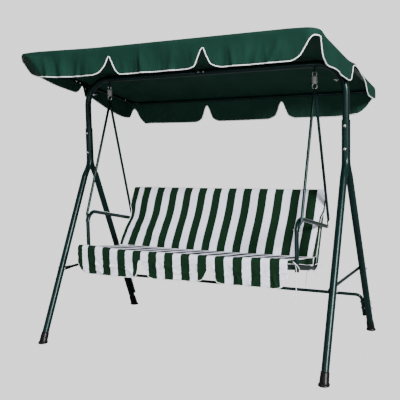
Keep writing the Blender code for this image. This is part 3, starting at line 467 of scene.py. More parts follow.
def sweep(bm, path, radius, sides=28, wall=None, scales=None):
    """Sweep a round section along a path: a solid bar with eased ends, or an open tube."""
    path = [Vector(p) for p in path]
    frames = path_frames(path)
    reaches = [radius * scale for scale in scales or [1.0] * len(path)]
    inward = [(path[1] - path[0]).normalized(), (path[-2] - path[-1]).normalized()]
    ease = min(0.0006, radius * 0.2)

    def section(index, shift, reach):
        return ring(bm, path[index] + inward[index] * shift if shift else path[index], *frames[index],
                    reach, reach, sides)

    rings = [section(0, 0, reaches[0] - ease), section(0, ease, reaches[0])]
    rings += [section(index, 0, reaches[index]) for index in range(1, len(path) - 1)]
    rings += [section(-1, ease, reaches[-1]), section(-1, 0, reaches[-1] - ease)]
    if wall is not None:
        depth = radius * 3
        rings = [section(0, depth, reaches[0] - wall), section(0, 0, reaches[0] - wall), *rings,
                 section(-1, 0, reaches[-1] - wall), section(-1, depth, reaches[-1] - wall)]
    skin(bm, rings)


def bar(name, path, radius, mat, sides=28, wall=None, scales=None):
    bm = bmesh.new()
    sweep(bm, path, radius, sides, wall, scales)
    return finish_mesh(name, bm, mat)


def tube(node, ending, path, radius, wall, body, sides=28, scales=None):
    """A painted steel tube that stands for a CAD node."""
    place(bar(node + ending, path, radius, PAINT, sides, wall, scales), body, node)


def turn_profile(bm, base, axis, profile, sides=24):
    """Rings along an axis: (distance, radius) is round, (distance, radius, "hex") six-sided."""
    axis = Vector(axis).normalized()
    across = axis.orthogonal().normalized()
    up = axis.cross(across)
    rings = []
    for distance, radius, *six_sided in profile:
        verts = []
        for index in range(sides):
            angle = 2 * math.pi * index / sides
            off_flat = (angle + math.pi / 6) % (math.pi / 3) - math.pi / 6
            reach = radius / math.cos(off_flat) if six_sided else radius
            offset = across * math.cos(angle) + up * math.sin(angle)
            verts.append(bm.verts.new(Vector(base) + axis * distance + offset * reach))
        rings.append(verts)
    skin(bm, rings)


WASHER = 0.0008


def dome_head(shank):
    """Profile of a domed head with a washer, ending at its seat."""
    head = shank * 1.75
    dome = arc((-WASHER, 0), (-shank * 1.25, 0), (0, head), 14, 90, 4)
    return [*dome, (-WASHER, head * 1.25), (0.0, head * 1.25)]


def hex_nut(start, shank):
    """Profile of a washer, a nut and the thread's end past it."""
    flat = shank * 1.75
    top = start + shank * 1.7
    washer = start + 0.0009
    thread_end = start + shank * 1.7 ** 2
    return [(start, shank * 2.3), (washer, shank * 2.3), (washer, flat * 1.02), (start + 0.0013, flat, "hex"),
            (top, flat, "hex"), (top + 0.0005, flat * 0.93), (top + 0.0005, shank), (thread_end, shank),
            (thread_end + 0.0005, shank * 0.8)]


def bolt(name, head_face, axis, grip, shank, body, *nodes):
    """A domed bolt through both parts of a joint, with its nut where grip isn't None."""
    profile = [*dome_head(shank), (0.0, shank)]
    if grip is None:
        profile += [(0.006, shank), (0.007, shank * 0.6)]
    else:
        profile += [(grip, shank), *hex_nut(grip, shank)]
    bm = bmesh.new()
    turn_profile(bm, head_face, axis, profile)
    add_piece(name, bm, ZINC, body, *nodes)


# -------- legs and feet
LEG_SIDES = 40
LEG_STEPS = 18                 # sections between the round tube and the half shell
# height and radius of the foot's level base, then of its sleeve round the leg
FOOT_BASE = ((0.0, 0.0255), (0.0008, 0.0272), (0.0030, 0.0280), (0.0070, 0.0280), (0.0090, 0.0270),
             (0.0105, 0.0250), (0.0130, 0.0236))
FOOT_SLEEVE = ((0.0280, 0.0226), (0.0420, 0.0221), (0.0570, 0.0216), (0.0585, 0.0208), (0.0585, 0.0192),
               (0.0500, 0.0191))


def leg_axis(side, end, z):
    share = z / LEG_MEET_Z
    x = side * (FOOT_X + (POST_X - FOOT_X) * share)
    return Vector((x, end * FOOT_Y * (1 - share), z))


def leg_direction(side, end):
    return (leg_axis(side, end, LEG_MEET_Z) - leg_axis(side, end, 0)).normalized()


def leg_ring(bm, side, end, z, blend):
    """A leg section: round where blend is 0, a half shell that hugs the post where it is 1."""
    outward = Vector((1, 0, 0)).cross(leg_direction(side, end)).normalized()
    if outward.y * end < 0:
        outward.negate()
    circle = arc(leg_axis(side, end, z), outward * LEG_RADIUS, (LEG_RADIUS, 0, 0), -90, 270, LEG_SIDES)[:-1]
    verts = []
    for index, tube_point in enumerate(circle):
        quarter = 4 * index / LEG_SIDES - 1
        radius, turn = (SHELL_OUTER, quarter) if quarter <= 1 else (SHELL_INNER, 2 - quarter)
        turn *= SHELL_HALF_ANGLE
        shell_point = Vector((side * POST_X + math.sin(turn) * radius, end * math.cos(turn) * radius, z))
        verts.append(bm.verts.new(tube_point.lerp(shell_point, blend)))
    return verts


def make_leg(side_name, end_name):
    side, end = SIDES[side_name], ENDS[end_name]
    bm = bmesh.new()
    rings = [leg_ring(bm, side, end, z, 0.0) for z in (0.030, 0.5)]
    for step in range(LEG_STEPS + 1):
        share = step / LEG_STEPS
        z = SHELL_START_Z + (SHELL_FULL_Z - SHELL_START_Z) * share
        rings.append(leg_ring(bm, side, end, z, smooth_step(share)))
    skin(bm, rings + [leg_ring(bm, side, end, SHELL_TOP_Z, 1.0)])
    stand_in(f"leg_{end_name}_{side_name}", "_tube", bm, PAINT, "frame", 50)


def make_foot(side_name, end_name):
    """A plastic cup with a flared base."""
    side, end = SIDES[side_name], ENDS[end_name]
    sideways = Vector((1, 0, 0))
    in_plane = leg_direction(side, end).cross(sideways).normalized()
    level = Vector((0, math.copysign(1.0, in_plane.y), 0))
    bm = bmesh.new()
    rings = []
    for across, outline in ((level, FOOT_BASE), (in_plane, FOOT_SLEEVE)):
        rings += [ring(bm, leg_axis(side, end, z), across, sideways, radius, radius, LEG_SIDES)
                  for z, radius in outline]
    skin(bm, rings)
    stand_in(f"foot_cap_{end_name}_{side_name}", "_cup", bm, BLACK, "frame")


# -------- top frame, braces, stabiliser
FRAME_WALL = 0.0014
BRACE_WALL = 0.0011
STABILISER_BEND = 0.034


def make_top_tube(side_name):
    side = SIDES[side_name]
    joint = RAIL_JOINT_X + side * GAP
    path = rounded_path([(side * POST_X, 0, POST_BOTTOM_Z), (side * POST_X, 0, RAIL_Z), (joint, 0, RAIL_Z)],
                        CORNER_RADIUS, 22)
    scales = [1.0] * len(path)
    if side_name == "left":
        path[-1].x -= 0.004
        path += [(joint - 0.001, 0, RAIL_Z), (joint + 0.03, 0, RAIL_Z)]
        scales += [0.945, 0.905]
    tube("top_frame_tube_" + side_name, "_bent", path, RAIL_RADIUS, FRAME_WALL, "frame", 40, scales)


def make_post_fasteners(side_name):
    for level, height in POST_BOLT_HEIGHTS.items():
        face = (SIDES[side_name] * POST_X, -SHELL_OUTER - 0.0001, height)
        node = f"post_bolt_{level}_{side_name}"
        bolt(node + "_zinc", face, (0, 1, 0), 2 * SHELL_OUTER + GAP, 0.003, "frame", node)
    face = (RAIL_SCREWS[side_name], -RAIL_RADIUS - 0.0002, RAIL_Z)
    node = "rail_screw_" + side_name
    bolt(node + "_zinc", face, (0, 1, 0), None, 0.0024, "frame", node)


def flattened_bar(node, start, end, radius, tab, flat, blend, end_shift, body):
    """A round bar in a YZ plane with both ends pressed flat, rounded past their bolt centres."""
    start, end = Vector(start), Vector(end)
    along = (end - start).normalized()
    side_way = Vector((1, 0, 0))
    in_plane = along.cross(side_way).normalized()
    half_width, half_thick = tab
    tip = arc((0, 0), (-half_width, 0), (0, half_width), 8, 90, 6)
    stations = [(back, wide, half_thick, 0.0) for back, wide in [*tip, (flat, half_width)]]
    for step in range(1, 9):
        share = step / 8
        ease = smooth_step(share)
        stations.append((flat + blend * share, half_width + (radius - half_width) * ease,
                         half_thick + (radius - half_thick) * math.sqrt(ease), ease))
    bm = bmesh.new()
    places = [(start + along * distance, wide, thick) for distance, wide, thick, _ in stations]
    places += [(end - along * distance + side_way * (end_shift * share), wide, thick)
               for distance, wide, thick, share in reversed(stations)]
    skin(bm, [ring(bm, centre, in_plane, side_way, wide, thick, 28) for centre, wide, thick in places])
    stand_in(node, "_bar", bm, PAINT, body, 50)


def make_brace(side_name):
    side = SIDES[side_name]
    ends = {end_name: leg_axis(side, end, BRACE_Z).y for end_name, end in ENDS.items()}
    x = leg_axis(side, -1, BRACE_Z).x - side * (LEG_RADIUS + BRACE_THICKNESS + GAP)
    flattened_bar("side_brace_" + side_name, (x, ends["front"], BRACE_Z), (x, ends["rear"], BRACE_Z),
                  BRACE_RADIUS, (0.011, BRACE_THICKNESS), 0.040, 0.026, 0.0, "frame")
    for end_name, y in ends.items():
        face = (x - side * BRACE_THICKNESS, y, BRACE_Z)
        bolt(f"brace_bolt_{end_name}_{side_name}", face, (side, 0, 0), 2 * LEG_RADIUS + 0.0038, 0.0028,
             "frame")


def make_stabiliser():
    inset = LEG_RADIUS + STABILISER_RADIUS + 0.0006
    corners = []
    for side, heights in ((-1, (STABILISER_END_Z, STABILISER_Z)), (1, (STABILISER_Z, STABILISER_END_Z))):
        for z in heights:
            point = leg_axis(side, 1, z)
            corners.append((point.x - side * inset, point.y, z))
    path = rounded_path(corners, STABILISER_BEND, 12)
    tube("rear_stabiliser", "_bent", path, STABILISER_RADIUS, BRACE_WALL, "frame")
    reach = LEG_RADIUS + 2 * STABILISER_RADIUS + 0.0008
    for side_name, side in SIDES.items():
        for level, height in STABILISER_BOLT_HEIGHTS.items():
            face = leg_axis(side, 1, height) - Vector((side * reach, 0, 0))
            nodes = ["stabiliser_bolt_" + side_name] if level == "lower" else []
            bolt(f"stabiliser_bolt_{level}_{side_name}_zinc", face, (side, 0, 0), reach + LEG_RADIUS, 0.0026,
                 "frame", *nodes)


# -------- suspension
def make_spring_eye(side_name):
    """A bent eye bolt in dark enamel with a nut over the rail."""
    x = SIDES[side_name] * HANGER_X
    top = RAIL_Z + RAIL_RADIUS
    path = [(x, 0, top + 0.0040), (x, 0, EYE_RING_Z + EYE_RING_RADIUS + 0.006)]
    path += arc((x, 0, EYE_RING_Z), (0, EYE_RING_RADIUS, 0), (0, 0, EYE_RING_RADIUS), 75, -230, 28)
    bm = bmesh.new()
    sweep(bm, path, EYE_WIRE, 16)
    turn_profile(bm, (x, 0, top + 0.0002), (0, 0, 1),
                 ((0.0, 0.0085), (0.0008, 0.0085), (0.0009, 0.0062, "hex"), (0.0040, 0.0062, "hex"),
                  (0.0042, 0.0058)))
    turn_profile(bm, (x, 0, RAIL_Z - RAIL_RADIUS - 0.0002), (0, 0, -1), ((0.0, 0.0078), (0.0012, 0.0078)))
    stand_in("spring_eye_" + side_name, "_hook", bm, PAINT, "frame")


def spring_path(x):
    """A close-wound extension spring with a hook loop at each end."""
    gap = 0.0015
    upper = (SPRING_TOP_Z - SPRING_COIL_TOP_Z - gap) / 2
    lower = (SPRING_COIL_BOTTOM_Z - gap - SPRING_BOTTOM_Z) / 2
    path = arc((x, 0, SPRING_TOP_Z - upper), (upper, 0, 0), (0, 0, upper), -50, 238, 24)
    count = SPRING_TURNS * 24
    for step in range(count + 1):
        share = step / count
        angle = math.radians(150) + 2 * math.pi * SPRING_TURNS * share
        z = SPRING_COIL_TOP_Z + (SPRING_COIL_BOTTOM_Z - SPRING_COIL_TOP_Z) * share
        path.append(Vector((x + SPRING_RADIUS * math.cos(angle), SPRING_RADIUS * math.sin(angle), z)))
    return path + arc((x, 0, SPRING_BOTTOM_Z + lower), (lower, 0, 0), (0, 0, lower), 120, 408, 24)


def make_spring(side_name):
    x = SIDES[side_name] * HANGER_X
    node = "coil_spring_" + side_name
    spring = bar(node + "_wire", spring_path(x), SPRING_WIRE, ZINC, 10)
    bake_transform(spring)
    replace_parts(spring, node)


def make_hanger_rod(side_name, end_name):
    side = SIDES[side_name]
    at = ROD_BOLTS[end_name]
    top_x = HANGER_X + ENDS[end_name] * (ROD_TAB_HALF + GAP)
    low_x = ARM_X + ARM_RADIUS + ROD_TAB_HALF + GAP
    flattened_bar(f"hanger_rod_{end_name}_{side_name}", (side * top_x, 0, HANGER_HOLE_Z), (side * low_x, *at),
                  ROD_RADIUS, (0.0100, ROD_TAB_HALF), 0.021, 0.022, side * (ROD_RADIUS - ROD_TAB_HALF),
                  "seat")
    face = (side * (ARM_X + ARM_RADIUS + 2 * ROD_TAB_HALF + 0.0005), *at)
    grip = 2 * ARM_RADIUS + 2 * ROD_TAB_HALF + 0.0008
    node = f"rod_bolt_{end_name}_{side_name}"
    bolt(node + "_zinc", face, (-side, 0, 0), grip, 0.0028, "seat", node)


# -------- seat frame
FRONT_RAIL_Y = -0.385
REAR_RAIL_Y = 0.060
CROSS_RAIL_RADIUS = 0.0105
ARM_FOOT_Z = 0.486
ARM_BEND = 0.065
SIDE_FRAME_BEND = 0.045
SEAT_WALL = 0.0012
TOP_RAIL_JOINT_X = 0.500
PLUG = ((-0.012, 0.0108), (0.0003, 0.0108), (0.0003, 0.0124), (0.0020, 0.0124), (0.0032, 0.0112),
        (0.0038, 0.0080))


def rail_z(y):
    return SEAT_REF[1] - SEAT_TILT * (y - SEAT_REF[0])


def back_point(along, forward):
    """y, z of a point measured up the back from its foot and forward from the uprights' axes."""
    foot = Vector((SEAT_BACK_Y, rail_z(SEAT_BACK_Y)))
    way = (Vector(BACK_TOP) - foot).normalized()
    normal = Vector((-way.y, way.x))
    point = foot + way * along + normal * forward
    return point.x, point.y


def make_seat_tubes():
    front, back = ((y, rail_z(y)) for y in (SEAT_FRONT_Y, SEAT_BACK_Y))
    for side_name, side in SIDES.items():
        x = side * ARM_X
        arm = [(x, ARM_POST_Y, ARM_FOOT_Z), (x, ARM_POST_Y, ARM_CORNER_Z), (x, *ARM_END)]
        path = rounded_path(arm, ARM_BEND, 20)
        tube("armrest_" + side_name, "_bent", path, ARM_RADIUS, BRACE_WALL, "seat")
        x = side * SIDE_FRAME_X
        rail = [(x, *front), (x, *back), (x, *BACK_TOP), (side * TOP_RAIL_JOINT_X, *BACK_TOP)]
        path = rounded_path(rail, SIDE_FRAME_BEND, 12)
        tube("seat_side_frame_" + side_name, "_bent", path, SIDE_FRAME_RADIUS, SEAT_WALL, "seat")
        bm = bmesh.new()
        turn_profile(bm, (x, *front), (0, -1, SEAT_TILT), PLUG)
        add_piece("side_frame_plug_" + side_name, bm, BLACK, "seat")
    reach = SIDE_FRAME_X - SIDE_FRAME_RADIUS - 0.0006
    for node, y in (("seat_front_rail", FRONT_RAIL_Y), ("seat_rear_rail", REAR_RAIL_Y)):
        path = [(-reach, y, rail_z(y)), (reach, y, rail_z(y))]
        tube(node, "_tube", path, CROSS_RAIL_RADIUS, BRACE_WALL, "seat")
    swaged = ((0.545, 0.84), (0.4993, 0.84), (0.4985, 1.0))
    stations = [(-x, scale) for x, scale in swaged] + [*reversed(swaged)]
    path = [(x, *BACK_TOP) for x, _ in stations]
    scales = [scale for _, scale in stations]
    tube("back_top_rail", "_tube", path, SIDE_FRAME_RADIUS, SEAT_WALL, "seat", scales=scales)


# -------- cushions
PAD_SWELL_FRAMES = 18
PAD_CLOTH = {"vertex_group_mass": "seams", "quality": 5, "mass": 0.25, "tension_stiffness": 25,
             "compression_stiffness": 20, "shear_stiffness": 12, "bending_stiffness": 2.0,
             "use_pressure": True, "uniform_pressure_force": 3.0}


def box_shell(counts, mapping):
    """A closed box of quads; mapping turns shares (u, v, w) in 0..1 into a place."""
    bm = bmesh.new()
    grid = {}

    def vert(key):
        if key not in grid:
            grid[key] = bm.verts.new(mapping(*(part / count for part, count in zip(key, counts))))
        return grid[key]

    for axis in range(3):
        first, second = [a for a in range(3) if a != axis]
        for level, a, b in product((0, counts[axis]), range(counts[first]), range(counts[second])):
            corners = []
            for da, db in ((0, 0), (1, 0), (1, 1), (0, 1)):
                key = [level] * 3
                key[first], key[second] = a + da, b + db
                corners.append(vert(tuple(key)))
            bm.faces.new(corners).material_index = 1 if axis == 0 else 0
    return bm, grid


def hump(x):
    """1 in the middle of 0..1, falling steeply to 0 at both ends."""
    return 1 - (2 * x - 1) ** 4


def between(stations, where, column):
    """A column of a table of stations, read along its first column."""
    for low, high in zip(stations, stations[1:]):
        if where <= high[0]:
            return low[column] + (high[column] - low[column]) * (where - low[0]) / (high[0] - low[0])
    return stations[-1][column]


def along_knots(knots, where):
    """A curve through (place, value) knots that never overshoots them."""
    if where <= knots[0][0]:
        return knots[0][1]
    if where >= knots[-1][0]:
        return knots[-1][1]
    slopes = [(b[1] - a[1]) / (b[0] - a[0]) for a, b in zip(knots, knots[1:])]
    index = next(k for k in range(len(slopes)) if where <= knots[k + 1][0])
    ends = []
    for near in (index - 1, index):
        pair = slopes[max(near, 0)], slopes[min(near + 1, len(slopes) - 1)]
        ends.append(2 * pair[0] * pair[1] / (pair[0] + pair[1]) if pair[0] * pair[1] > 0 else 0.0)
    (start, low), (stop, high) = knots[index], knots[index + 1]
    width = stop - start
    t = (where - start) / width
    return (low * (1 + 2 * t) * (1 - t) ** 2 + high * t * t * (3 - 2 * t)
            + width * (ends[0] * t * (1 - t) ** 2 - ends[1] * t * t * (1 - t)))


def swell(obj, seams, cap):
    """Blow the pad up as cloth held along its seams, and let no point move further than cap."""
    obj.vertex_groups.new(name="seams").add(seams, 1.0, "REPLACE")
    cloth = obj.modifiers.new("stuffing", "CLOTH")
    for name, value in PAD_CLOTH.items():
        setattr(cloth.settings, name, value)
    cloth.settings.effector_weights.gravity = 0.0
    cloth.collision_settings.use_collision = False
    cloth.point_cache.frame_start = 1
    cloth.point_cache.frame_end = PAD_SWELL_FRAMES
    scene = bpy.context.scene
    for number in range(1, PAD_SWELL_FRAMES + 1):
        scene.frame_set(number)
    evaluated = obj.evaluated_get(bpy.context.evaluated_depsgraph_get())
    steps = [after.co - before.co for before, after in zip(obj.data.vertices, evaluated.data.vertices)]
    obj.modifiers.remove(cloth)
    for vert, step in zip(obj.data.vertices, steps):
        vert.co += step * min(1.0, cap / max(step.length, 1e-9))
    obj.vertex_groups.clear()
    scene.frame_set(1)


def edge_loops(counts):
    """Keys of the corners along the pad's lower and upper seam, each a closed loop."""
    nx, ny, nz = counts
    loops = []
    for k in (0, nz):
        loop = [(i, 0, k) for i in range(nx)] + [(nx, j, k) for j in range(ny)]
        loop += [(i, ny, k) for i in range(nx, 0, -1)] + [(0, j, k) for j in range(ny, 0, -1)]
        loops.append(loop)
    return loops


def build_pad(name, counts, mapping, cap, node):
    bm, grid = box_shell(counts, mapping)
    bm.verts.index_update()
    seams = [[grid[key].index for key in loop] for loop in edge_loops(counts)]
    pad = finish_mesh(name, bm, STRIPES, 80)
    pad.data.materials.append(BOXING)
    swell(pad, sorted({index for loop in seams for index in loop}), cap)
    finer = pad.modifiers.new("finer", "SUBSURF")
    finer.levels = 1
    finer.render_levels = 1
    place(pad, "seat", node)
    for label, loop in zip(("lower", "upper"), seams):
        points = [pad.data.vertices[index].co.copy() for index in loop]
        piping(f"{name}_piping_{label}", points + points[:1], 0.0014, "seat")


def piping(name, points, radius, body):
    """A thin welt along a seam."""
    bm = bmesh.new()
    frames = path_frames(points)
    skin(bm, [ring(bm, point, across, up, radius, radius, 8) for point, (across, up) in zip(points, frames)])
    add_piece(name, bm, PIPING, body, sharp=60)


# the pads' length: from the seat's front edge back, and up the back from its foot
SEAT_PAD_FRONT, SEAT_PAD_BACK = -0.392, 0.046
BACK_PAD_FOOT, BACK_PAD_HEAD = 0.062, 0.449
# how far the pads' undersides lie off the tubes' middle
SEAT_PAD_BASE = 0.018
BACK_PAD_BASE = 0.019
FOOT_DROP = 0.023              # how far the back pad's front edge sags onto the seat pad
ARM_BULGE = 0.010              # how far it is pushed forward over the left armrest


def seat_pad_point(u, v, w):
    """Seat pad: u across, v from front to back, w from underside to top."""
    x = (CUSHION_HALF_WIDTH - 0.003) * (2 * u - 1)
    y = SEAT_PAD_FRONT + (SEAT_PAD_BACK - SEAT_PAD_FRONT) * v
    top = 0.0270 + 0.0320 * v + end_lift(x) * (1 - v)
    lift = SEAT_PAD_BASE + (top - SEAT_PAD_BASE) * w
    ripple = 0.0026 * noise.noise(Vector((x * 9, y * 7, w * 3)))
    return Vector((x, y, rail_z(y) + lift + ripple))


# places up the back, how far the front face comes forward at the left end, and half the pad's width
BACK_STATIONS = (
    (0.060, 0.127, 0.621), (0.130, 0.104, 0.624), (0.205, 0.073, 0.624), (0.245, 0.055, 0.623),
    (0.285, 0.050, 0.624), (0.325, 0.050, 0.638), (0.438, 0.053, 0.641), (0.450, 0.049, 0.639))
# the same for the rest of its length
BACK_FRONT = (
    (0.050, 0.100), (0.080, 0.092), (0.140, 0.078), (0.200, 0.066), (0.250, 0.057), (0.300, 0.052),
    (0.350, 0.050), (0.438, 0.050), (0.450, 0.047))
LEFT_SLUMP_WIDTH = 0.26        # how far in from the left end the pad has slid down


def back_pad_point(u, v, w):
    """Back pad: u across, v from its foot up, w from rear to front; its foot lies on the seat pad."""
    along = BACK_PAD_FOOT + (BACK_PAD_HEAD - BACK_PAD_FOOT) * v
    x = between(BACK_STATIONS, along, 2) * (2 * u - 1)
    slump = math.exp(-((x + CUSHION_HALF_WIDTH) / LEFT_SLUMP_WIDTH) ** 2)
    middle = along_knots(BACK_FRONT, along)
    lead = middle + (between(BACK_STATIONS, along, 1) - middle) * slump
    forward = BACK_PAD_BASE + (lead - BACK_PAD_BASE) * w
    near_left = math.exp(-((x + 0.62) / 0.13) ** 2)
    above_arm = math.exp(-((along - 0.33) / 0.055) ** 2)
    forward += near_left * w * ARM_BULGE * above_arm
    ripple = 0.0028 * noise.noise(Vector((x * 6, along * 8, w * 3 + 5)))
    ripple -= w * (0.0012 + 0.0030 * slump) * crumple(x * 6 + along * 4, along * 9 - x * 3, 1.0)
    foot_drop = FOOT_DROP * w * smooth_step(1 - v / 0.30)
    return Vector((x, *back_point(along - foot_drop, forward + ripple)))


def make_cushions():
    build_pad("seat_pad", (124, 44, 5), seat_pad_point, 0.004, "seat_cushion")
    build_pad("back_pad", (124, 38, 5), back_pad_point, 0.010, "back_cushion")


# -------- sling
SLING_HALF_WIDTH = 0.603
SLING_THICKNESS = 0.0014
SLING_OFFSET = 0.0016          # from the tubes it lies on
SEAT_SAG = 0.016
BACK_SAG = 0.010


def sling_profile():
    """The sling's centre line in the YZ plane, sagging a little under the pads."""
    wrap = CROSS_RAIL_RADIUS + SLING_OFFSET
    profile = arc((FRONT_RAIL_Y, rail_z(FRONT_RAIL_Y)), (wrap, 0), (0, wrap), 200, 90, 11)
    for step in range(1, 21):
        share = step / 20
        y = FRONT_RAIL_Y + (REAR_RAIL_Y - FRONT_RAIL_Y) * share
        profile.append((y, rail_z(y) + wrap - SEAT_SAG * 4 * share * (1 - share)))
    for step in range(1, 26):
        share = step / 25
        sag = BACK_SAG * 4 * share * (1 - share)
        profile.append(back_point(0.032 + 0.402 * share, SIDE_FRAME_RADIUS + SLING_OFFSET - sag))
    return profile


def make_sling():
    columns = 60
    bm = bmesh.new()
    rows = []
    for row, (y, z) in enumerate(sling_profile()):
        line = []
        for column in range(columns + 1):
            x = SLING_HALF_WIDTH * (2 * column / columns - 1)
            droop = 0.0015 * noise.noise(Vector((x * 8, row * 0.3, 2.0)))
            line.append(bm.verts.new((x, y, z + droop)))
        rows.append(line)
    quads(bm, rows)
    sling = add_piece("sling_cloth", bm, SLING_CLOTH, "seat", "seat_sling", sharp=80)
    thicken(sling, SLING_THICKNESS)


# -------- flap
FLAP_LEFT = -0.628
FLAP_RIGHT = 0.633
FLAP_NOTCH_X = 0.2135
FLAP_THICKNESS = 0.0026
# how far the hem rises at places either side of a notch's middle; the second notch is the mirror image
FLAP_NOTCH = (
    (-0.070, 0.0), (-0.040, 0.005), (-0.024, 0.024), (-0.014, 0.064), (-0.005, 0.095), (0.000, 0.099),
    (0.008, 0.090), (0.028, 0.044), (0.050, 0.014), (0.085, 0.0))
FLAP_END = ((0.000, 0.060), (0.004, 0.046), (0.012, 0.030), (0.026, 0.014), (0.045, 0.004), (0.070, 0.0))


def end_lift(x):
    """How much higher the seat's front edge sits towards each end."""
    return (END_LIFT_LEFT if x < 0 else END_LIFT_RIGHT) * smooth_step((abs(x) - 0.28) / 0.30)


def flap_bottom(x):
    """Height of the flap's lower edge: three sections with rounded corners."""
    lift = along_knots(FLAP_NOTCH, x + FLAP_NOTCH_X) + along_knots(FLAP_NOTCH, FLAP_NOTCH_X - x)
    lift += along_knots(FLAP_END, x - FLAP_LEFT) + along_knots(FLAP_END, FLAP_RIGHT - x)
    return FLAP_BOTTOM_Z + FLAP_HEM_RISE * smooth_step((x + 0.3) / 0.4) + lift


def flap_place(x, share):
    """A point on the flap; share runs from its seam on the seat, over the edge and down to the hem."""
    seam_run = 0.020
    bend = 0.018
    bend_run = bend * math.pi / 2
    top = FLAP_TOP_Z + end_lift(x)
    fall = top - bend - flap_bottom(x)
    distance = share * (seam_run + bend_run + fall)
    if distance < seam_run:
        y = FLAP_Y + bend + seam_run - distance
        return Vector((x, y, top - 0.15 * (seam_run - distance)))
    if distance < seam_run + bend_run:
        angle = (distance - seam_run) / bend
        return Vector((x, FLAP_Y + bend * (1 - math.sin(angle)), top - bend * (1 - math.cos(angle))))
    drop = distance - seam_run - bend_run
    slack = smooth_step(drop / 0.05)
    wave = 0.0060 * noise.noise(Vector((x * 6.5, drop * 6, 3.0)))
    wave += 0.0028 * noise.noise(Vector((x * 17, drop * 19, 9.0)))
    wave -= 0.0065 * crumple(x * 7 + drop * 9, drop * 13 - x * 2.5, 5.0)
    wave -= 0.0035 * crumple(x * 13 - drop * 15, drop * 26 + x * 3, 2.0)
    curl = 0.006 * smooth_step(drop / 0.13)
    return Vector((x, FLAP_Y + (wave + curl) * slack, top - bend - drop))


def make_flap():
    columns = 315
    rows = 30
    bm = bmesh.new()
    strips = []
    hem = []
    for column in range(columns + 1):
        x = FLAP_LEFT + (FLAP_RIGHT - FLAP_LEFT) * column / columns
        strips.append([bm.verts.new(flap_place(x, row / rows)) for row in range(rows + 1)])
        hem.append(strips[-1][-1].co + Vector((0, 0, -0.001)))
    quads(bm, strips)
    flap = add_piece("front_flap_cloth", bm, STRIPES, "seat", "cushion_front_flap", sharp=80)
    thicken(flap, FLAP_THICKNESS)
    piping("front_flap_piping", hem, 0.0022, "seat")


# -------- canopy frame
CANOPY_WALL = 0.0010
BRACKET_FACE_X = CANOPY_TUBE_X - CANOPY_TUBE - GAP      # the bracket's outer face


def middle_z(y):
    """Height of the roof between its shoulders: a fall to the rear with a shallow crown."""
    share = min(max((y - CANOPY_FRONT[0]) / (CANOPY_REAR[0] - CANOPY_FRONT[0]), 0.0), 1.0)
    chord = CANOPY_FRONT[1] + (CANOPY_REAR[1] - CANOPY_FRONT[1]) * share
    return chord + CANOPY_RISE * 4 * share * (1 - share)


def side_z(y):
    """Height of the roof's side edge: straight, and raised where it turns over the front bar."""
    return CANOPY_SIDE_MIDDLE_Z - CANOPY_SIDE_FALL * y + 0.008 * smooth_step((-0.450 - y) / 0.080)


def cloth_lift(x, y):
    """Where the cloth stands off its frame: at the front left, and over the right bracket."""
    front = smooth_step((-0.1 - y) / 0.49)
    left = smooth_step((-x - 0.25) / 0.55)
    right = smooth_step((x - 0.80) / 0.05)
    return 0.010 * front * left + 0.018 * right * math.exp(-((y - 0.09) / 0.10) ** 2)


def roof_z(x, y):
    outside = (abs(x) - CANOPY_SHOULDER_X) / (CANOPY_HALF_WIDTH - CANOPY_SHOULDER_X)
    return middle_z(y) + (side_z(y) - middle_z(y)) * smooth_step(outside)


def tube_point(x, y):
    return Vector((x, y, side_z(y) - CANOPY_TUBE_DROP))


def make_canopy_bars():
    joint = CANOPY_JOINT_Y
    for end_name, end in ENDS.items():
        end_y = end * (CANOPY_REAR[0] - 0.0018 - CANOPY_TUBE - 0.001)
        corners = [tube_point(x, y) for x, y in ((-CANOPY_TUBE_X, end * joint), (-CANOPY_TUBE_X, end_y),
                                                 (CANOPY_TUBE_X, end_y), (CANOPY_TUBE_X, end * joint))]
        path = rounded_path(corners, CANOPY_CORNER - 0.010, 12)
        tube(f"canopy_{end_name}_bar", "_bent", path, CANOPY_TUBE, CANOPY_WALL, "canopy", 24)
    ends = [(-joint - 0.03, 0.82), (-joint - 0.0002, 0.82), (-joint + 0.0008, 1.0)]
    stations = ends + [(-0.42 + 0.84 * step / 24, 1.0) for step in range(25)]
    stations += [(-y, scale) for y, scale in reversed(ends)]
    for side_name, side in SIDES.items():
        path = [tube_point(side * CANOPY_TUBE_X, y) for y, _ in stations]
        tube("canopy_side_bar_" + side_name, "_arched", path, CANOPY_TUBE, CANOPY_WALL, "canopy", 24,
             [scale for _, scale in stations])
        for end_name, end in ENDS.items():
            face = tube_point(side * (CANOPY_TUBE_X - CANOPY_TUBE), end * (joint + 0.018))
            bolt(f"canopy_corner_screw_{end_name}_{side_name}", face, (side, 0, 0), None, 0.0024, "canopy")


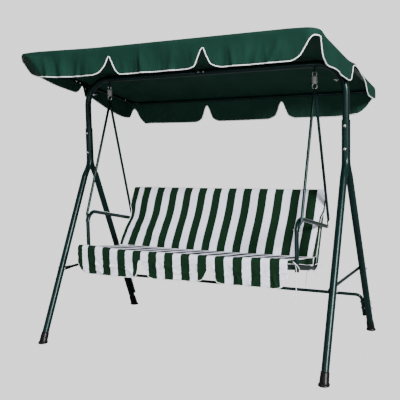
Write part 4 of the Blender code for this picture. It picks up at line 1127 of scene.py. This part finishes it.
def bracket_curve():
    """The bracket's outline with its slanted slot, as a flat curve in y and z with some thickness."""
    low = Vector((0, CANOPY_PIVOT_Z))
    outline = arc(low, (0.014, 0), (0, 0.014), 180, 360, 12) + [low + Vector((0.030, 0.048))]
    for y, lift in ((0.032, 0.007), (-0.118, 0.007), (-0.122, -0.008), (-0.045, -0.012)):
        outline.append((y, tube_point(0, y).z + lift))
    outline.append(low + Vector((-0.030, 0.048)))
    slot_way = Vector((0.812, 0.584))
    slot_across = Vector((-0.584, 0.812))
    slot = []
    for end in (1, -1):
        centre = low + Vector((0, 0.041)) + slot_way * (end * 0.011)
        slot += arc(centre, slot_way * 0.003, slot_across * 0.003, -90 * end, 180 - 90 * end, 6)
    curve = bpy.data.curves.new("bracket_outline", "CURVE")
    curve.dimensions = "2D"
    curve.fill_mode = "BOTH"
    curve.extrude = BRACKET_THICKNESS / 2 - 0.0004
    curve.bevel_depth = 0.0004
    curve.bevel_resolution = 1
    for points in (outline, slot):
        spline = curve.splines.new("POLY")
        spline.points.add(len(points) - 1)
        for number, point in enumerate(points):
            spline.points[number].co = (*point, 0.0, 1.0)
        spline.use_cyclic_u = True
    return curve


def make_bracket(side_name):
    """A pressed plate from the pivot bolt up to the side bar."""
    side = SIDES[side_name]
    carrier = add_object("bracket_outline", bracket_curve())
    bpy.context.view_layer.update()
    mesh = bpy.data.meshes.new_from_object(carrier.evaluated_get(bpy.context.evaluated_depsgraph_get()))
    bpy.data.objects.remove(carrier, do_unlink=True)
    bm = bmesh.new()
    bm.from_mesh(mesh)
    bmesh.ops.remove_doubles(bm, verts=bm.verts[:], dist=1e-6)
    x = side * (BRACKET_FACE_X - BRACKET_THICKNESS / 2)
    bm.transform(Matrix(((0, 0, 1, x), (1, 0, 0, 0), (0, 1, 0, 0), (0, 0, 0, 1))))
    stand_in("canopy_bracket_" + side_name, "_plate", bm, PAINT, "canopy", 30)
    for y, letter, nodes in ((-0.095, "b", []), (-0.058, "a", ["bracket_bolt_" + side_name])):
        face = tube_point(side * (BRACKET_FACE_X - 0.0002 - BRACKET_THICKNESS), y)
        bolt(f"bracket_bolt_{letter}_{side_name}_zinc", face, (side, 0, 0), None, 0.0030, "canopy", *nodes)


def make_pivot(side_name):
    """The carriage bolt through bracket and post, and the wing nut on its inner end."""
    side = SIDES[side_name]
    face = side * BRACKET_FACE_X
    bm = bmesh.new()
    turn_profile(bm, (face, 0, CANOPY_PIVOT_Z), (-side, 0, 0),
                 ((-0.0034, 0.002), (-0.0030, 0.0050), (-0.0018, 0.0076), (-0.0003, 0.0085),
                  (-0.0003, 0.0033), (0.0745, 0.0033), (0.0752, 0.0028)))
    stand_in("canopy_pivot_bolt_" + side_name, "_zinc", bm, ZINC, "frame")
    start = 0.7725
    bm = bmesh.new()
    turn_profile(bm, (side * start, 0, CANOPY_PIVOT_Z), (-side, 0, 0),
                 ((0.0, 0.0080), (0.0005, 0.0085), (0.0035, 0.0085), (0.0085, 0.0064), (0.0095, 0.0056)))
    for way in (1, -1):
        rings = []
        for step in range(9):
            share = step / 8
            half = 0.0036 * (1 - 0.15 * share) if step < 8 else 0.0016
            x = side * (start - 0.0035 - 0.0075 * share ** 1.6)
            centre = Vector((x, way * (0.0062 + 0.0135 * share), CANOPY_PIVOT_Z))
            rings.append(ring(bm, centre, Vector((1, 0, 0)), Vector((0, 0, 1)), half, 0.0013, 12))
        skin(bm, rings)
    stand_in("tilt_wing_nut_" + side_name, "_zinc", bm, ZINC, "tilt_nut_" + side_name)


# -------- canopy cloth
# hanging length of each valance at places along its edge
FRONT_HANG = (
    (-0.90, 0.020), (-0.840, 0.022), (-0.815, 0.045), (-0.797, 0.068), (-0.759, 0.110), (-0.690, 0.131),
    (-0.530, 0.139), (-0.345, 0.137), (-0.304, 0.127), (-0.271, 0.096), (-0.243, 0.046), (-0.228, 0.076),
    (-0.202, 0.124), (-0.175, 0.141), (0.200, 0.141), (0.246, 0.131), (0.268, 0.083), (0.292, 0.046),
    (0.309, 0.084), (0.337, 0.127), (0.395, 0.143), (0.720, 0.141), (0.760, 0.124), (0.793, 0.078),
    (0.812, 0.048), (0.835, 0.028), (0.90, 0.026))
REAR_HANG = (
    (-0.90, 0.040), (-0.850, 0.040), (-0.800, 0.120), (-0.760, 0.154), (-0.370, 0.160), (-0.325, 0.140),
    (-0.277, 0.052), (-0.230, 0.140), (-0.185, 0.158), (0.145, 0.158), (0.200, 0.140), (0.253, 0.050),
    (0.300, 0.140), (0.345, 0.156), (0.590, 0.156), (0.735, 0.142), (0.785, 0.104), (0.830, 0.050),
    (0.90, 0.040))
RIGHT_HANG = (
    (-0.60, 0.026), (-0.552, 0.026), (-0.546, 0.045), (-0.540, 0.084), (-0.530, 0.112), (-0.495, 0.124),
    (-0.394, 0.116), (-0.290, 0.107), (-0.150, 0.104), (-0.060, 0.096), (-0.025, 0.084), (-0.005, 0.050),
    (0.015, 0.016), (0.050, 0.008), (0.150, 0.008), (0.240, 0.012), (0.290, 0.030), (0.325, 0.066),
    (0.360, 0.080), (0.420, 0.078), (0.535, 0.062), (0.575, 0.048), (0.60, 0.046))
LEFT_HANG = (
    (-0.60, 0.022), (-0.570, 0.026), (-0.500, 0.050), (-0.365, 0.066), (-0.225, 0.072), (-0.080, 0.070),
    (-0.045, 0.055), (0.000, 0.012), (0.045, 0.045), (0.100, 0.070), (0.257, 0.102), (0.450, 0.122),
    (0.530, 0.112), (0.582, 0.040), (0.60, 0.040))
# upright folds in the front valance: place, lean to the right, width and how far each stands out
FRONT_CREASES = (
    (-0.668, 0.045, 0.018, 0.014), (-0.610, 0.040, 0.020, -0.010), (-0.540, 0.010, 0.020, 0.009),
    (-0.430, -0.015, 0.014, 0.009), (-0.060, 0.010, 0.013, 0.010), (0.120, -0.010, 0.020, 0.008),
    (0.430, 0.020, 0.015, 0.009), (0.560, -0.030, 0.022, -0.009), (0.690, -0.060, 0.020, 0.010))
# the crease where the front valance turns back at its left end
CREASE_TOP_X = -0.776
CREASE_SLOPE = 0.113
CREASE_EASE = 0.006
CREASE_TURN = 0.50
CREASE_SWELL = 0.018
CREASE_WIDTH = 0.060
CREASE_SPREAD = 0.6            # how much of the turn also widens the corner
CANOPY_THICKNESS = 0.0012
ROOF_RINGS = 28
SPINE_STEPS = 20               # along half of the line where the roof's rings end
# folds round the valance: height, how closely they follow, their start and their change down the cloth
VALANCE_FOLDS = ((0.0170, 1.5, 0, 0.6), (0.0055, 4.2, 3, 1.2), (0.0022, 11.0, 7, 2.2))
# wrinkles of the roof: height, how closely they follow along x, along y and across y, and their start
ROOF_WRINKLES = ((0.005, 2.6, 3.6, 0.8, 4.0), (0.0040, 7.0, 8.0, 1.2, 8.0), (0.0016, 15.0, 20.0, 2.0, 2.0))


def rim_points(count):
    """Evenly spaced points round the roof's rim, each with its outward direction."""
    half_x, half_y, radius = CANOPY_HALF_WIDTH, CANOPY_REAR[0], CANOPY_CORNER
    corner = math.pi * radius / 2
    sides = []
    for ahead, half_ahead, half_out in (((1, 0, 0), half_x, half_y), ((0, 1, 0), half_y, half_x),
                                        ((-1, 0, 0), half_x, half_y), ((0, -1, 0), half_y, half_x)):
        ahead = Vector(ahead)
        out = Vector((ahead.y, -ahead.x, 0))
        straight = 2 * (half_ahead - radius)
        sides.append((ahead, out, straight, out * half_out - ahead * (half_ahead - radius)))
    total = sum(straight + corner for _, _, straight, _ in sides)
    points = []
    for number in range(count):
        distance = total * number / count
        for ahead, out, straight, start in sides:
            if distance <= straight:
                points.append((start + ahead * distance, out))
                break
            distance -= straight
            if distance <= corner:
                turn = distance / radius
                direction = out * math.cos(turn) + ahead * math.sin(turn)
                points.append((start + ahead * straight + (direction - out) * radius, direction))
                break
            distance -= corner
    return points


def hang_at(point, out):
    """The valance's length at a rim point, blending the two edges round a corner."""
    end_hang = along_knots(FRONT_HANG if point.y < 0 else REAR_HANG, point.x)
    side_hang = along_knots(RIGHT_HANG if point.x > 0 else LEFT_HANG, point.y)
    share = out.y * out.y
    return end_hang * share + side_hang * (1 - share)


def crumple(x, y, z):
    """1 along sharp, wandering creases and 0 away from them."""
    near = max(0.0, 1 - abs(noise.noise(Vector((x, y, z)))) * 7)
    return near * near


def front_creases(point, out, fall):
    """The few upright folds that stand out in the front valance."""
    total = 0.0
    for x, lean, width, depth in FRONT_CREASES:
        total += depth * math.exp(-((point.x - x - lean * fall) / width) ** 2)
    return total * max(-out.y, 0.0)


def valance_place(turn, point, out, share):
    """A point of the valance; turn runs round the rim, and share from the roof's edge down to the hem."""
    drop = hang_at(point, out) * share
    fall = drop / 0.14
    around = Vector((math.cos(turn), math.sin(turn), 0)) * 5.2
    fold = sum(height * noise.noise(around * often + Vector((start, 0, fall * change)))
               for height, often, start, change in VALANCE_FOLDS)
    fold += front_creases(point, out, fall) + 0.0020 * crumple(around.x * 3, around.y * 3, fall * 1.4)
    fold *= 0.45 + 0.55 * abs(out.y)
    ease = 0.005 * (1 - math.exp(-drop / 0.006))
    offset = ease + (fold + 0.004 * fall) * smooth_step(fall * 1.1)
    top = roof_z(point.x, point.y) + cloth_lift(point.x, point.y) - 0.004 * (1 - math.exp(-drop / 0.004))
    tuck = corner_tuck(point.x, point.y, fall)
    spread = CREASE_SPREAD * max(tuck, 0.0)
    return Vector((point.x - spread, point.y + tuck, top - drop)) + out * (offset - 0.005)


def corner_tuck(x, y, fall):
    """How far the cloth turns back beyond the crease at its front left corner."""
    past = CREASE_TOP_X + CREASE_SLOPE * fall - x
    eased = 0.5 * (past + math.sqrt(past * past + CREASE_EASE ** 2))
    swell_out = CREASE_SWELL * math.exp(-(past / CREASE_WIDTH) ** 2)
    return (CREASE_TURN * eased - swell_out) * smooth_step((-0.25 - y) / 0.30) * smooth_step(fall / 0.25)


def make_canopy_cloth():
    """Roof and scalloped valances as one sheet, with a piped hem."""
    count = 840
    rows = 16
    shares = [(row / rows) ** 1.25 for row in range(rows + 1)]
    bm = bmesh.new()
    rim = rim_points(count)
    columns = []
    for number, (point, out) in enumerate(rim):
        turn = 2 * math.pi * number / count
        columns.append([bm.verts.new(valance_place(turn, point, out, share)) for share in shares])
    hem = [column[-1].co.copy() for column in columns]
    roof_rings(bm, [column[0] for column in columns], rim)
    quads(bm, columns + columns[:1])
    cloth = add_piece("canopy_cloth", bm, CANOPY_CLOTH, "canopy", "canopy_fabric", sharp=80)
    # The inside face takes the lighter copy of the green, which is painted light for the shaded underside.
    cloth.data.materials.append(CANOPY_INSIDE_PAINTED_LIGHT)
    thicken(cloth, CANOPY_THICKNESS, -1.0).material_offset = 1
    piping("canopy_piping", hem + hem[:1], 0.0027, "canopy")


def roof_place(x, y):
    """The roof surface with its slack: shallow creases that run in from the corners."""
    slack = sum(height * noise.noise(Vector((x * along_x + y * along_y, y * across, start)))
                for height, along_x, along_y, across, start in ROOF_WRINKLES)
    inside = hump(0.5 + 0.5 * x / CANOPY_HALF_WIDTH) * hump(0.5 + 0.5 * y / CANOPY_REAR[0])
    return Vector((x, y, roof_z(x, y) + (cloth_lift(x, y) + slack) * inside))


def roof_rings(bm, outer, rim):
    """Fill the roof with rings that shrink from the rim to a line along its middle."""
    spine = CANOPY_HALF_WIDTH - CANOPY_REAR[0]
    step = spine / SPINE_STEPS
    centre_line = {}
    previous = outer
    for level in range(1, ROOF_RINGS + 1):
        current = []
        for point, _ in rim:
            inner_x = min(max(point.x, -spine), spine)
            if level < ROOF_RINGS:
                spot = point.lerp(Vector((inner_x, 0, 0)), level / ROOF_RINGS)
                current.append(bm.verts.new(roof_place(spot.x, spot.y)))
                continue
            key = round(inner_x / step)
            if key not in centre_line:
                centre_line[key] = bm.verts.new(roof_place(key * step, 0.0))
            current.append(centre_line[key])
        for number in range(len(outer)):
            following = (number + 1) % len(outer)
            corners = [previous[number], previous[following], current[following], current[number]]
            if corners[2] is corners[3]:
                corners.pop()
            bm.faces.new(corners)
        previous = current


# -------- tie cords
CORD_RADIUS = 0.00175
CORD_ROUTES = {
    "tie_cord_long": ((0.6400, -0.3350, 0.5480), (0.6440, -0.3235, 0.5360), (0.6470, -0.3140, 0.5160),
                      (0.6480, -0.3105, 0.4900), (0.6475, -0.3110, 0.4550), (0.6480, -0.3150, 0.4150),
                      (0.6485, -0.3220, 0.3750), (0.6480, -0.3300, 0.3350)),
    "tie_cord_short": ((0.6440, -0.3400, 0.5440), (0.6520, -0.3330, 0.5370), (0.6580, -0.3200, 0.5240),
                       (0.6600, -0.3060, 0.5100), (0.6605, -0.2930, 0.4950), (0.6600, -0.2850, 0.4780)),
    "tie_cord_rear": ((0.6340, 0.0450, 0.4650), (0.6400, 0.0800, 0.4640), (0.6500, 0.1150, 0.4530),
                      (0.6570, 0.1420, 0.4340), (0.6580, 0.1480, 0.4130), (0.6520, 0.1300, 0.3990),
                      (0.6420, 0.0980, 0.4010), (0.6350, 0.0600, 0.4170), (0.6345, 0.0200, 0.4350),
                      (0.6345, -0.0200, 0.4470), (0.6345, -0.0600, 0.4530), (0.6350, -0.0930, 0.4500),
                      (0.6355, -0.1110, 0.4330), (0.6360, -0.1200, 0.4100), (0.6360, -0.1270, 0.3850)),
}


def cord_path(points, step=0.004):
    """A smooth curve through the route's points."""
    points = [Vector(p) for p in points]
    padded = [points[0] * 2 - points[1]] + points + [points[-1] * 2 - points[-2]]
    path = []
    for p0, p1, p2, p3 in zip(padded, padded[1:], padded[2:], padded[3:]):
        pieces = max(2, round((p2 - p1).length / step))
        for part in range(pieces):
            t = part / pieces
            path.append(0.5 * (2 * p1 + (p2 - p0) * t + (2 * p0 - 5 * p1 + 4 * p2 - p3) * t ** 2
                               + (3 * p1 - p0 - 3 * p2 + p3) * t ** 3))
    path.append(points[-1])
    return path


def make_cords():
    for node, route in CORD_ROUTES.items():
        path = cord_path(route)
        cord = bar(node + "_braid", path, CORD_RADIUS, PIPING, 12)
        place(cord, "seat", node)


# -------- the whole bench
def main():
    make_camera()
    make_world()
    make_floor()
    make_lights()
    make_cords()
    for side_name in SIDES:
        for end_name in ENDS:
            make_leg(side_name, end_name)
            make_foot(side_name, end_name)
            make_hanger_rod(side_name, end_name)
        for make in (make_top_tube, make_post_fasteners, make_brace, make_spring_eye, make_spring,
                     make_bracket, make_pivot):
            make(side_name)
    for make in (make_stabiliser, make_seat_tubes, make_canopy_bars, make_sling, make_cushions, make_flap,
                 make_canopy_cloth):
        make()


main()
